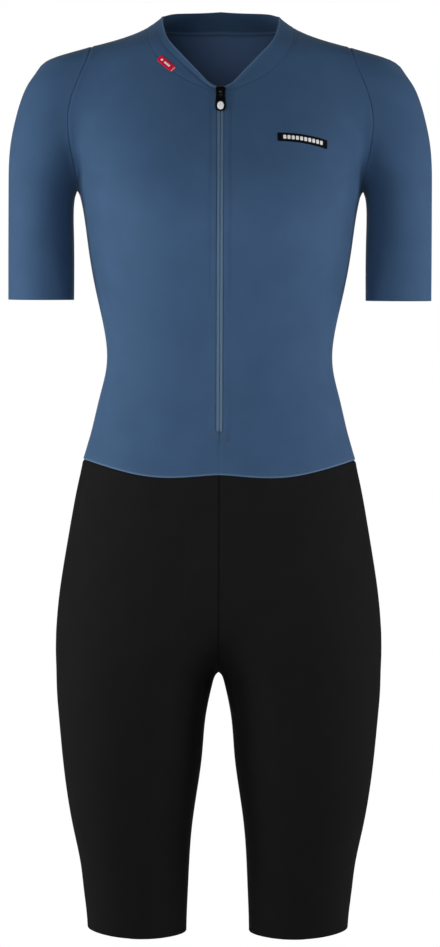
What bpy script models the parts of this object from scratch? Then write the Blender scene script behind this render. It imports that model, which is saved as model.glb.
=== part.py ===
"""Cycling skinsuit in its worn shape: a blue short-sleeved top sewn to black shorts.

The suit hangs hollow, as it would round a wearer. One form, made of level cuts
through the trunk, the legs and the arms, carries every piece: each panel is a
grid laid on that form between its seams and thickened inwards into a wall.
The front faces -Y and the wearer's left is +X. The origin is midway between
the shoulder points, where the wearer holds the suit up.
"""
import bpy
import numpy as np
from mathutils import Vector
from mathutils.bvhtree import BVHTree

# ---- cloth, in metres ----
WALL = 0.0015            # wall of every sewn panel
SEAM_GAP = 0.0003        # between the edges of two sewn panels
REST_GAP = 0.0006        # between a piece and the panel it lies on
PAD_GAP = 0.0030         # between the pad's edge and the shorts, whose facets are larger

# ---- the worn form: level cuts, from the neck down ----
# One half of the trunk and the leg it turns into. "centre" is how far the cut's
# middle stands from the mid-plane, "front" and "back" are its depths, and
# "blend" is how softly the two halves run together.
TRUNK_COLUMNS = ("height", "centre", "half_width", "front", "back", "blend")
TRUNK_ROWS = (
    (0.0550, 0.0000, 0.0520, 0.0480, 0.0600, 0.0000),
    (0.0400, 0.0000, 0.0552, 0.0500, 0.0640, 0.0000),
    (0.0300, 0.0000, 0.0624, 0.0520, 0.0680, 0.0000),
    (0.0200, 0.0000, 0.0755, 0.0540, 0.0720, 0.0000),
    (0.0100, 0.0000, 0.0918, 0.0565, 0.0770, 0.0000),
    (0.0000, 0.0000, 0.1170, 0.0600, 0.0810, 0.0000),
    (-0.0125, 0.0000, 0.1390, 0.0645, 0.0850, 0.0000),
    (-0.0300, 0.0000, 0.1500, 0.0710, 0.0890, 0.0000),
    (-0.0500, 0.0000, 0.1555, 0.0800, 0.0930, 0.0000),
    (-0.0750, 0.0000, 0.1570, 0.0920, 0.0960, 0.0000),
    (-0.1000, 0.0000, 0.1550, 0.1045, 0.0980, 0.0000),
    (-0.1250, 0.0000, 0.1510, 0.1160, 0.0990, 0.0000),
    (-0.1500, 0.0000, 0.1475, 0.1250, 0.0985, 0.0000),
    (-0.1760, 0.0000, 0.1428, 0.1300, 0.0970, 0.0000),
    (-0.2020, 0.0000, 0.1391, 0.1295, 0.0940, 0.0000),
    (-0.2270, 0.0000, 0.1355, 0.1235, 0.0900, 0.0000),
    (-0.2646, 0.0000, 0.1281, 0.1090, 0.0840, 0.0000),
    (-0.3020, 0.0000, 0.1202, 0.0955, 0.0780, 0.0000),
    (-0.3213, 0.0000, 0.1181, 0.0910, 0.0760, 0.0000),
    (-0.3400, 0.0000, 0.1192, 0.0893, 0.0755, 0.0000),
    (-0.3650, 0.0000, 0.1250, 0.0897, 0.0780, 0.0000),
    (-0.4030, 0.0000, 0.1340, 0.0920, 0.0860, 0.0000),
    (-0.4470, 0.0000, 0.1455, 0.0945, 0.0985, 0.0000),
    (-0.4910, 0.0080, 0.1462, 0.0960, 0.1105, 0.0040),
    (-0.5290, 0.0220, 0.1386, 0.0965, 0.1200, 0.0120),
    (-0.5670, 0.0400, 0.1264, 0.0967, 0.1255, 0.0220),
    (-0.6050, 0.0600, 0.1100, 0.0970, 0.1270, 0.0300),
    (-0.6400, 0.0795, 0.0910, 0.0973, 0.1235, 0.0180),
    (-0.6550, 0.0862, 0.0838, 0.0970, 0.1190, 0.0100),
    (-0.6680, 0.0885, 0.0812, 0.0965, 0.1135, 0.0080),
    (-0.7056, 0.0908, 0.0761, 0.0945, 0.1000, 0.0060),
    (-0.7430, 0.0906, 0.0727, 0.0910, 0.0900, 0.0060),
    (-0.7810, 0.0908, 0.0677, 0.0860, 0.0830, 0.0060),
    (-0.8190, 0.0900, 0.0617, 0.0790, 0.0765, 0.0060),
    (-0.8570, 0.0874, 0.0564, 0.0720, 0.0700, 0.0060),
    (-0.8820, 0.0864, 0.0543, 0.0670, 0.0650, 0.0060),
    (-0.9200, 0.0850, 0.0515, 0.0600, 0.0570, 0.0060),
    (-0.9350, 0.0848, 0.0512, 0.0580, 0.0550, 0.0060),
)
TRUNK_POWER = 2.2        # 2 would make each cut an ellipse; more squares it

# The arm, with the shoulder it runs into.
ARM_COLUMNS = ("height", "inner", "outer", "front", "back", "blend")
ARM_ROWS = (
    (0.0340, 0.0300, 0.0400, 0.0060, 0.0070, 0.0100),
    (0.0188, 0.0400, 0.0660, 0.0100, 0.0200, 0.0200),
    (0.0112, 0.0550, 0.0885, 0.0140, 0.0260, 0.0250),
    (0.0048, 0.0720, 0.1095, 0.0190, 0.0320, 0.0270),
    (-0.0016, 0.0850, 0.1362, 0.0250, 0.0360, 0.0290),
    (-0.0080, 0.0950, 0.1612, 0.0305, 0.0400, 0.0300),
    (-0.0139, 0.1020, 0.1790, 0.0350, 0.0430, 0.0300),
    (-0.0258, 0.1080, 0.1925, 0.0405, 0.0460, 0.0300),
    (-0.0380, 0.1120, 0.2010, 0.0445, 0.0480, 0.0300),
    (-0.0500, 0.1150, 0.2070, 0.0460, 0.0495, 0.0300),
    (-0.0760, 0.1220, 0.2150, 0.0480, 0.0500, 0.0280),
    (-0.1010, 0.1310, 0.2200, 0.0480, 0.0490, 0.0220),
    (-0.1260, 0.1420, 0.2220, 0.0465, 0.0470, 0.0140),
    (-0.1440, 0.1500, 0.2222, 0.0455, 0.0455, 0.0100),
    (-0.1600, 0.1530, 0.2222, 0.0445, 0.0445, 0.0100),
    (-0.2000, 0.1533, 0.2222, 0.0430, 0.0430, 0.0100),
    (-0.2635, 0.1530, 0.2220, 0.0420, 0.0420, 0.0100),
)
ARM_FLOOR = -0.290       # the arm's form ends below the cuff

# ---- seams and edges ----
# Round the neck: the collar's free edge and the seam below it.
NECK_COLUMNS = ("degrees_from_front", "edge_height", "seam_height")
NECK_ROWS = (
    (0, -0.0520, -0.0570),
    (8, -0.0473, -0.0542),
    (15, -0.0381, -0.0501),
    (25, -0.0250, -0.0434),
    (35, -0.0120, -0.0344),
    (43, -0.0016, -0.0246),
    (55, 0.0149, -0.0031),
    (62, 0.0225, 0.0064),
    (70, 0.0276, 0.0139),
    (80, 0.0308, 0.0182),
    (90, 0.0326, 0.0195),
    (110, 0.0372, 0.0214),
    (130, 0.0412, 0.0227),
    (180, 0.0468, 0.0250),
)
WAIST_COLUMNS = ("degrees_from_front", "height")
WAIST_ROWS = ((-30, -0.4520), (0, -0.4490), (30, -0.4520), (45, -0.4494), (65, -0.4395),
              (80, -0.4337), (90, -0.4328), (135, -0.4315), (180, -0.4300))
SIDE_COLUMNS = ("height", "degrees_from_front")
SIDE_ROWS = ((-0.434, 71), (-0.498, 70), (-0.540, 71), (-0.590, 79), (-0.650, 90), (-0.925, 90))
SHORTS_SIDE = 71         # where the shorts' side seam leaves the waist, in degrees
SHOULDER_SEAM = 96       # where the shoulder seam leaves the collar, in degrees
ARMHOLE_TOP = 0.1345     # distance of the armhole's top from the mid-plane
ARMPIT = 0.1498          # distance of the armpit from the mid-plane
ARMHOLE_BOW = 0.0160     # how far the armhole bows outwards halfway down
CUFF_HEIGHT = -0.2635
HEM_OUTER, HEM_INNER = -0.9225, -0.9265   # heights of the hem at the two sides of a leg
HEM_DIP = 0.0028         # how far it dips below them at the front
CROTCH_CENTRE = -0.560   # height of the point that the crotch seam turns round

# ---- front zip ----
ZIP_HALF_GAP = 0.0040    # from the mid-plane to the cloth's edge beside the zip
ZIP_FOOT = -0.4060
ZIP_TAPER = 0.0120       # below its foot the front closes over this length
TAPE_HALF = 0.0125
TAPE_THICK = 0.0010
CHAIN_HALF = 0.0018
CHAIN_THICK = 0.0012
SLIDER_HEIGHT = -0.0575  # height of the slider's middle
SLIDER_HALF = (0.0054, 0.0048)           # half width at its head and at its foot
SLIDER_THICK, SLIDER_LONG = 0.0024, 0.0112
BRIDGE_HALF, BRIDGE_THICK = 0.0015, 0.0012
BRIDGE_CLEAR = (0.0022, 0.0064)          # the room under the bridge: out and along
PULL_THICK = 0.0011      # also the depth of the bar that runs under the bridge
PULL_AXIS = -0.0021      # the bar's middle, along from the slider's middle
PULL_WINDOW = (0.0019, 0.0060)           # half width, and its far end from the bar
PULL_COLUMNS = ("from_bar", "half_width")
PULL_ROWS = ((-0.0006, 0.0046), (0.0006, 0.0046), (0.0060, 0.0047), (0.0140, 0.0054),
             (0.0195, 0.0056), (0.0223, 0.0044), (0.0233, 0.0025))

# ---- labels and pad ----
LABEL_CENTRE = (0.0845, -0.1075)         # across, height
LABEL_SIZE = (0.0557, 0.0100)
LABEL_TILT = 6.8                         # degrees, its outer end down
TAB_CENTRE = (-0.0559, -0.0263)
TAB_SIZE = (0.0222, 0.0085)
TAB_TILT = 42.0
LABEL_THICK = 0.0007
PAD_COLUMNS = ("along", "half_width", "thickness")
PAD_ROWS = (
    (0.00, 0.0180, 0.0020),
    (0.10, 0.0390, 0.0035),
    (0.30, 0.0500, 0.0060),
    (0.50, 0.0520, 0.0070),
    (0.75, 0.0680, 0.0075),
    (0.92, 0.0560, 0.0040),
    (1.00, 0.0280, 0.0020),
)
PAD_FRONT, PAD_BACK = -0.592, -0.575     # heights of its two ends

# ---- how finely each run of a seam is divided ----
N_SIDE, N_ARMHOLE = 11, 9                # side seam; each half of the armhole
N_NECK_FRONT, N_NECK_BACK, N_SHOULDER = 6, 4, 4
N_WAIST_FRONT, N_WAIST_SIDE, N_WAIST_BACK = 8, 2, 8
N_INSEAM, N_CROTCH = 10, 10
N_SLEEVE, N_COLLAR = 9, 2
CAP_CROWD = 1.5                          # above 1 crowds a sleeve's rows towards its cap
N_PAD = (5, 14)                          # out from the middle, along

COLOURS = {"blue": (0.046, 0.088, 0.165), "black": (0.010, 0.010, 0.011), "red": (0.42, 0.010, 0.028),
           "tape": (0.038, 0.074, 0.140), "coil": (0.030, 0.060, 0.115), "pad": (0.030, 0.032, 0.038),
           "metal": (0.008, 0.008, 0.009), "label": (0.006, 0.006, 0.007)}


def cubic(rows):
    """Natural cubic curves through the columns of a table, by its first column."""
    rows = np.array(sorted(rows), float)
    x, y = rows[:, 0], rows[:, 1:]
    h, count = np.diff(x), len(x)
    system, right = np.eye(count), np.zeros_like(y)
    for i in range(1, count - 1):
        system[i, i - 1:i + 2] = h[i - 1], 2 * (h[i - 1] + h[i]), h[i]
        right[i] = 6 * ((y[i + 1] - y[i]) / h[i] - (y[i] - y[i - 1]) / h[i - 1])
    bend = np.linalg.solve(system, right)

    def at(value):
        value = np.clip(value, x[0], x[-1])
        i = np.clip(np.searchsorted(x, value) - 1, 0, count - 2)
        below, above, width = value - x[i], x[i + 1] - value, h[i]
        below, above, width = below[..., None], above[..., None], width[..., None]
        curve = (bend[i] * above ** 3 + bend[i + 1] * below ** 3) / (6 * width)
        curve += (y[i] / width - bend[i] * width / 6) * above
        curve += (y[i + 1] / width - bend[i + 1] * width / 6) * below
        return np.moveaxis(curve, -1, 0)
    return at


TRUNK, ARM, NECK = cubic(TRUNK_ROWS), cubic(ARM_ROWS), cubic(NECK_ROWS)
WAIST, SIDE, PAD = cubic(WAIST_ROWS), cubic(SIDE_ROWS), cubic(PAD_ROWS)


def tube(x, y, half, front, back, power):
    """How far points lie outside a cut with these half width and depths."""
    depth = np.where(y < 0, front, back)
    share = (np.abs(x / half) ** power + np.abs(y / depth) ** power + 1e-12) ** (1 / power)
    reach = np.sqrt(x * x + y * y + 1e-12)
    return reach - reach / share


def merge(a, b, soft):
    """The nearer of two surfaces, run together over the distance soft."""
    soft = np.maximum(soft, 1e-6)
    overlap = np.maximum(soft - np.abs(a - b), 0)
    return np.minimum(a, b) - overlap * overlap / (4 * soft)


def form(p):
    """How far points lie outside the worn form; below zero inside it."""
    x, y, z = np.abs(p[..., 0]), p[..., 1], p[..., 2]
    centre, half, front, back, soft = TRUNK(z)
    centre = np.maximum(centre, 0)
    body = merge(tube(x - centre, y, half, front, back, TRUNK_POWER),
                 tube(x + centre, y, half, front, back, TRUNK_POWER), soft)
    inner, outer, front, back, soft = ARM(z)
    arm = tube(x - (inner + outer) / 2, y, (outer - inner) / 2, front, back, 2.0)
    return merge(body, np.maximum(arm, ARM_FLOOR - z), soft)


def slope(p):
    """The form's gradient, pointing outwards."""
    step = 2e-5 * np.eye(3)
    return np.stack([form(p + s) - form(p - s) for s in step], -1) / 4e-5


def outward(p):
    """Unit directions straight out of the form."""
    g = slope(p)
    return g / np.linalg.norm(g, axis=-1, keepdims=True)


def snap(p, rounds=5):
    """Points moved straight onto the form."""
    for _ in range(rounds):
        g = slope(p)
        p = p - g * (form(p) / (g * g).sum(-1))[..., None]
    return p


def meet(path, inside, outside):
    """Where each path, a function of one distance, leaves the form."""
    for _ in range(40):
        middle = (inside + outside) / 2
        within = form(path(middle)) < 0
        inside, outside = np.where(within, middle, inside), np.where(within, outside, middle)
    return path(outside)


def evenly(curve, start, stop, count):
    """count + 1 points of a curve, evenly spaced along it."""
    t = np.linspace(start, stop, 321)
    length = np.linalg.norm(np.diff(curve(t), axis=0), axis=1).cumsum()
    length = np.concatenate([[0.0], length])
    return curve(np.interp(np.linspace(0, length[-1], count + 1), length, t))


def chain(*runs):
    """Runs of points joined end to end."""
    return np.concatenate([runs[0]] + [run[1:] for run in runs[1:]])


def mirrored(p):
    return p * (-1.0, 1.0, 1.0)


def around(degrees, height, reach=0.30):
    """Points of the form in these directions round the mid-line, at these heights."""
    turn = np.radians(degrees)
    return meet(lambda r: np.stack([r * np.sin(turn), -r * np.cos(turn), height + 0 * r], -1),
                0.01 + 0 * turn, reach + 0 * turn)


def neck_edge(degrees):
    return around(degrees, NECK(degrees)[0])


def neck_seam(degrees):
    return around(degrees, NECK(degrees)[1])


def waist(degrees):
    return around(degrees, WAIST(degrees)[0])


def front_at(x, z):
    """Points of the form's front at these distances from the mid-plane and heights."""
    return meet(lambda r: np.stack([x + 0 * r, -r, z + 0 * r], -1), 0 * x, 0.2 + 0 * x)


def back_centre(z):
    return meet(lambda r: np.stack([0 * r, r, z], -1), 0 * z, 0.2 + 0 * z)


def front_edge(z):
    """The cloth's edge down the front: beside the zip, then on the mid-plane."""
    share = np.clip((z - ZIP_FOOT + ZIP_TAPER) / ZIP_TAPER, 0, 1)
    return front_at(ZIP_HALF_GAP * share * share * (3 - 2 * share), z)


def underarm(z):
    return meet(lambda r: np.stack([r, 0 * r, z], -1), 0.08 + 0 * z, ARMPIT + 0 * z)


def armpit():
    """The armhole's lowest and highest points."""
    foot = meet(lambda r: np.array([ARMPIT, 0, -r]), np.array(0.09), np.array(0.19))
    top = meet(lambda r: np.array([ARMHOLE_TOP, 0, r]), np.array(-0.05), np.array(0.07))
    return foot, top


def armhole(degrees):
    """Points round the armhole: -90 is the armpit, 0 the front, 90 the shoulder."""
    foot, top = armpit()
    middle, up = (foot + top) / 2, (top - foot) / 2
    half = np.linalg.norm(up)
    up, turn = up / half, np.radians(degrees)
    out = np.cross((0, 1, 0), up)

    def path(r):
        rise = r * np.sin(turn)
        bow = ARMHOLE_BOW * (1 - np.minimum((rise / half) ** 2, 1)) ** 2
        return (middle + rise[..., None] * up + bow[..., None] * out
                - (r * np.cos(turn))[..., None] * (0, 1, 0))
    return meet(path, 0 * turn, 0.13 + 0 * turn)


def shoulder(t):
    """The shoulder seam, from the collar at 0 to the armhole at 1."""
    near, far = neck_seam(np.array(float(SHOULDER_SEAM))), armpit()[1]
    flat = near + t[..., None] * (far - near)
    return meet(lambda r: flat * (1, 1, 0) + (r[..., None] - 0.05) * (0, 0, 1), 0 * t, 0.12 + 0 * t)


def crotch(degrees):
    """The seam between the legs: 0 points forwards, 90 down and 180 back."""
    turn = np.radians(degrees)
    return meet(lambda r: np.stack([0 * r, -r * np.cos(turn), CROTCH_CENTRE - r * np.sin(turn)], -1),
                0.01 + 0 * turn, 0.25 + 0 * turn)


def crotch_turn(p):
    """The direction, as crotch() counts it, of a point in the mid-plane."""
    return np.degrees(np.arctan2(CROTCH_CENTRE - p[2], -p[1]))


def leg_at(degrees, z):
    """Points round a leg: 0 is its front, 90 its outer side and -90 its inner."""
    turn, centre = np.radians(degrees), np.maximum(TRUNK(z)[0], 0)
    return meet(lambda r: np.stack([centre + r * np.sin(turn), -r * np.cos(turn), z], -1),
                0.01 + 0 * turn, 0.20 + 0 * turn)


def hem(degrees):
    turn = np.radians(degrees)
    height = (HEM_OUTER + HEM_INNER) / 2 + (HEM_OUTER - HEM_INNER) / 2 * np.sin(turn)
    return leg_at(degrees, height - HEM_DIP * np.maximum(np.cos(turn), 0) ** 4)


def shorts_side(z):
    return leg_at(SIDE(z)[0], z)


def inseam(z):
    centre = np.maximum(TRUNK(z)[0], 0)
    return meet(lambda r: np.stack([centre - r, 0 * r, z], -1), 0 * z, centre)


def arm_middle(z):
    """How far the arm's middle stands from the mid-plane at these heights."""
    return ARM(z)[:2].mean(0)


def cuff(degrees):
    """Points round the cuff: -90 is the side by the body, 0 the front."""
    turn, z = np.radians(degrees), CUFF_HEIGHT + 0 * degrees
    middle = arm_middle(z)
    return meet(lambda r: np.stack([middle + r * np.sin(turn), -r * np.cos(turn), z], -1),
                0 * turn, 0.1 + 0 * turn)


def settled(grid, rounds, ring=False):
    """A grid whose inner points have evened out on the form; its edges stay."""
    grid = grid.copy()
    for _ in range(rounds):
        if ring:
            along = grid[:, :-2] + grid[:, 2:]
            round_it = np.roll(grid, 1, 0)[:, 1:-1] + np.roll(grid, -1, 0)[:, 1:-1]
            grid[:, 1:-1] = snap((along + 0.4 * round_it) / 2.8, 1)
        else:
            sides = grid[:-2, 1:-1] + grid[2:, 1:-1] + grid[1:-1, :-2] + grid[1:-1, 2:]
            grid[1:-1, 1:-1] = snap(sides / 4, 1)
    return grid


def filled(left, right, bottom, top, rounds=90):
    """A grid on the form between four seams; left and right run from bottom to top."""
    u, v = np.linspace(0, 1, len(bottom))[:, None, None], np.linspace(0, 1, len(left))[None, :, None]
    grid = (1 - u) * left[None] + u * right[None] + (1 - v) * bottom[:, None] + v * top[:, None]
    grid = grid - ((1 - u) * (1 - v) * left[0] + u * (1 - v) * right[0]
                   + (1 - u) * v * left[-1] + u * v * right[-1])
    grid[1:-1, 1:-1] = snap(grid[1:-1, 1:-1])
    return settled(grid, rounds)


def trimmed(grid, left=0.0, right=0.0, bottom=0.0, top=0.0, ring=False):
    """A grid with each edge drawn in, square to itself, by its own distance."""
    move = np.zeros_like(grid)

    def draw(edge, inner, amount):
        if ring:
            along = np.roll(edge, -1, 0) - np.roll(edge, 1, 0)
        else:
            along = np.gradient(edge, axis=0)
        along = along / np.linalg.norm(along, axis=-1, keepdims=True)
        step = inner - edge
        step = step - (step * along).sum(-1, keepdims=True) * along
        return amount * step / np.linalg.norm(step, axis=-1, keepdims=True)

    if left:
        move[0] += draw(grid[0], grid[1], left)
    if right:
        move[-1] += draw(grid[-1], grid[-2], right)
    if bottom:
        move[:, 0] += draw(grid[:, 0], grid[:, 1], bottom)
    if top:
        move[:, -1] += draw(grid[:, -1], grid[:, -2], top)
    return grid + move


def paint(name, colour):
    """A plain material of a piece's own."""
    made = bpy.data.materials.new(name)
    made.use_nodes = True
    shader = made.node_tree.nodes["Principled BSDF"]
    shader.inputs["Base Color"].default_value = (*COLOURS[colour], 1.0)
    shader.inputs["Roughness"].default_value = 0.5 if colour == "metal" else 0.8
    return made


def solid(name, points, faces, colour, origin=(0.0, 0.0, 0.0)):
    """A named object of the given closed surface, its faces turned outwards."""
    points = np.asarray(points, float) - np.asarray(origin, float)
    mesh = bpy.data.meshes.new(name)
    mesh.from_pydata(points.tolist(), [], faces)
    corners = points[[[f[0], f[1], f[2]] for f in faces]]
    others = points[[[f[0], f[2], f[-1]] for f in faces]]
    volume = sum((c[:, 0] * np.cross(c[:, 1], c[:, 2])).sum() for c in (corners, others))
    if volume < 0:
        mesh.flip_normals()
    mesh.materials.append(paint(name, colour))
    made = bpy.data.objects.new(name, mesh)
    made.location = origin
    bpy.context.scene.collection.objects.link(made)
    return made


def sheet(name, outer, inner, colour, ring=False):
    """A closed wall between two matching grids; a ring's first axis runs round."""
    wide, high = outer.shape[:2]
    points = np.concatenate([outer.reshape(-1, 3), inner.reshape(-1, 3)])
    grid = np.concatenate([outer, outer[:1]]) if ring else outer
    level = form(grid)
    # each cell is split along whichever diagonal keeps nearer to the form
    rise = form((grid[:-1, :-1] + grid[1:, 1:]) / 2) - (level[:-1, :-1] + level[1:, 1:]) / 2
    fall = form((grid[1:, :-1] + grid[:-1, 1:]) / 2) - (level[1:, :-1] + level[:-1, 1:]) / 2
    rising = np.abs(rise) <= np.abs(fall)
    faces, edges = [], []

    def at(i, j):
        return (i % wide) * high + j

    for i in range(len(grid) - 1):
        for j in range(high - 1):
            a, b, c, d = at(i, j), at(i + 1, j), at(i + 1, j + 1), at(i, j + 1)
            for face in ([a, b, c], [a, c, d]) if rising[i, j] else ([a, b, d], [b, c, d]):
                faces += [face, [n + wide * high for n in face[::-1]]]
        edges += [(at(i + 1, 0), at(i, 0)), (at(i, high - 1), at(i + 1, high - 1))]
    if not ring:
        for j in range(high - 1):
            edges += [(at(0, j), at(0, j + 1)), (at(wide - 1, j + 1), at(wide - 1, j))]
    # sewn edges share their low ends, so splitting from there keeps them parallel
    for a, b in edges:
        c, d = a + wide * high, b + wide * high
        faces += [[a, b, d], [a, d, c]] if points[a][2] < points[b][2] else [[a, b, c], [b, d, c]]
    return solid(name, points, faces, colour)


def panel(name, grid, colour, ring=False):
    """A cloth panel whose outer face is the grid."""
    return sheet(name, grid, grid - WALL * outward(grid), colour, ring)


def blocks(name, xs, ys, zs, filled_cells, place, colour, origin):
    """One solid made of the chosen cells between three sets of cuts."""
    cells = np.zeros((len(xs) - 1, len(ys) - 1, len(zs) - 1), bool)
    for i, j, k in filled_cells:
        cells[i, j, k] = True
    padded = np.pad(cells, 1)
    corner, faces = {}, []

    def index(i, j, k):
        return corner.setdefault((i, j, k), len(corner))

    for i, j, k in np.argwhere(cells):
        for axis in range(3):
            for side in (0, 1):
                step = [0, 0, 0]
                step[axis] = 1 if side else -1
                if padded[i + 1 + step[0], j + 1 + step[1], k + 1 + step[2]]:
                    continue
                a, b = [n for n in range(3) if n != axis]
                quad = []
                for da, db in ((0, 0), (1, 0), (1, 1), (0, 1)):
                    at = [i, j, k]
                    at[axis] += side
                    at[a] += da
                    at[b] += db
                    quad.append(index(*at))
                if (side == 1) == (axis == 1):
                    quad.reverse()
                faces.append(quad)
    points = place(np.array([(xs[i], ys[j], zs[k]) for i, j, k in corner]))
    return solid(name, points, faces, colour, origin)


def mirror_grid(grid):
    """The same grid on the wearer's other side, still running from right to left."""
    return mirrored(grid)[::-1]


def surface(objects, side):
    """A search tree over the outer (0) or inner (1) faces of some panels."""
    points, faces = [], []
    for made in objects:
        base = len(points)
        points += [tuple(v.co) for v in made.data.vertices]
        half = len(made.data.vertices) // 2
        for face in made.data.polygons:
            if all((n >= half) == bool(side) for n in face.vertices):
                faces.append([base + n for n in face.vertices])
    return BVHTree.FromPolygons(points, faces)


def laid(tree, points, lift):
    """Points moved along the form's normal until they are this far off a panel's face."""
    out = outward(points)
    placed = []
    for point, direction in zip(points.reshape(-1, 3), out.reshape(-1, 3)):
        side = 0.006 * np.sign(lift) * direction
        hit = tree.ray_cast(Vector(point + side), Vector(-side), 0.02)[0]
        hit = np.array(hit or tree.find_nearest(Vector(point))[0])
        placed.append(point + ((hit - point) @ direction + lift) * direction)
    return np.array(placed).reshape(points.shape)


def patch(tree, name, centre, size, tilt, cells, colour):
    """A thin label lying on the front of a panel."""
    u = np.linspace(-0.5, 0.5, cells[0] + 1)[:, None] * size[0]
    v = np.linspace(-0.5, 0.5, cells[1] + 1)[None, :] * size[1]
    turn = np.radians(tilt)
    middle = front_at(*np.array(centre)[:, None])[0]
    out = outward(middle)
    across = np.cross((0, 0, 1), out)
    across = across / np.linalg.norm(across)
    up = np.cross(out, across)
    along, over = np.cos(turn) * across - np.sin(turn) * up, np.sin(turn) * across + np.cos(turn) * up
    flat = snap(middle + u[..., None] * along + v[..., None] * over)
    return sheet(name, laid(tree, flat, REST_GAP + LABEL_THICK), laid(tree, flat, REST_GAP), colour)


def zip_side():
    """The direction, from the front, of the cloth's edge beside the zip at the neck."""
    return np.degrees(np.arcsin(ZIP_HALF_GAP / -neck_seam(np.array(0.0))[1]))


def front_panels():
    """The two fronts of the top, which meet at the zip."""
    low = chain(evenly(waist, 0.0, SHORTS_SIDE, N_WAIST_FRONT),
                evenly(waist, SHORTS_SIDE, 90.0, N_WAIST_SIDE))
    high = chain(evenly(neck_seam, zip_side(), SHOULDER_SEAM, N_NECK_FRONT),
                 evenly(shoulder, 0.0, 1.0, N_SHOULDER))
    inner = evenly(front_edge, low[0][2], high[0][2], N_SIDE + N_ARMHOLE)
    outer = chain(evenly(underarm, low[-1][2], armpit()[0][2], N_SIDE),
                  evenly(armhole, -90.0, 90.0, N_ARMHOLE))
    grid = trimmed(filled(inner, outer, low, high), *[SEAM_GAP / 2] * 4)
    return panel("front_left", grid, "blue"), panel("front_right", mirror_grid(grid), "blue")


def back_panel():
    """The back of the top, one piece."""
    low = evenly(waist, 180.0, 90.0, N_WAIST_BACK)
    high = chain(evenly(neck_seam, 180.0, SHOULDER_SEAM, N_NECK_BACK),
                 evenly(shoulder, 0.0, 1.0, N_SHOULDER))
    middle = evenly(back_centre, low[0][2], high[0][2], N_SIDE + N_ARMHOLE)
    outer = chain(evenly(underarm, low[-1][2], armpit()[0][2], N_SIDE),
                  evenly(armhole, 270.0, 90.0, N_ARMHOLE))
    half = filled(middle, outer, low, high)
    whole = np.concatenate([mirror_grid(half)[:-1], half])
    return panel("back", trimmed(whole, *[SEAM_GAP / 2] * 4), "blue")


def sleeves():
    """The two short sleeves, each a tube from armhole to cuff."""
    loop, end = [chain(evenly(edge, -90.0, 90.0, N_ARMHOLE), evenly(edge, 90.0, 270.0, N_ARMHOLE))[:-1]
                 for edge in (armhole, cuff)]
    turns = [np.unwrap(np.arctan2(edge[:, 0] - arm_middle(edge[:, 2]), -edge[:, 1]))
             for edge in (loop, end)]
    share = np.linspace(0, 1, N_SLEEVE + 1)[None, :] ** CAP_CROWD
    turn = turns[0][:, None] * (1 - share) + turns[1][:, None] * share
    z = loop[:, 2:] * (1 - share) + end[:, 2:] * share
    middle = arm_middle(z)
    grid = meet(lambda r: np.stack([middle + r * np.sin(turn), -r * np.cos(turn), z], -1),
                0 * z, 0.12 + 0 * z)
    grid[:, 0], grid[:, -1] = loop, end
    grid = trimmed(settled(grid, 90, ring=True), bottom=SEAM_GAP / 2, ring=True)
    panel("sleeve_left", grid, "blue", ring=True)
    panel("sleeve_right", mirror_grid(grid), "blue", ring=True)


def collar():
    """The low stand collar, one band from the zip round the nape to the zip."""
    low, high = [chain(evenly(curve, zip_side(), SHOULDER_SEAM, N_NECK_FRONT),
                       evenly(curve, SHOULDER_SEAM, 180.0, N_NECK_BACK))
                 for curve in (neck_seam, neck_edge)]
    share = np.linspace(0, 1, N_COLLAR + 1)[None, :, None]
    half = snap(low[:, None] * (1 - share) + high[:, None] * share)
    whole = np.concatenate([half, mirror_grid(half)[1:]])
    return panel("collar", trimmed(whole, bottom=SEAM_GAP / 2), "blue")


def shorts():
    """The four panels of the shorts."""
    ground = hem(np.array([-90.0, 90.0]))[:, 2]
    apex = crotch(np.array(90.0))
    leg = evenly(inseam, ground[0], apex[2], N_INSEAM)
    made = []
    tops = {"front": evenly(waist, 0.0, SHORTS_SIDE, N_WAIST_FRONT),
            "back": chain(evenly(waist, 180.0, 90.0, N_WAIST_BACK),
                          evenly(waist, SHORTS_SIDE, 90.0, N_WAIST_SIDE)[::-1])}
    inner_legs, full_turns = {"front": -90.0, "back": 270.0}, {"front": 0.0, "back": 360.0}
    for name, top in tops.items():
        inner = chain(leg, evenly(crotch, 90.0, crotch_turn(top[0]) + full_turns[name], N_CROTCH))
        outer = evenly(shorts_side, ground[1], top[-1][2], N_INSEAM + N_CROTCH)
        low = evenly(hem, inner_legs[name], 90.0, len(top) - 1)
        grid = filled(inner, outer, low, top)
        grid = trimmed(grid, left=SEAM_GAP / 2, right=SEAM_GAP / 2, top=SEAM_GAP / 2)
        made.append(panel(f"short_{name}_left", grid, "black"))
        made.append(panel(f"short_{name}_right", mirror_grid(grid), "black"))
    return made


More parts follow.
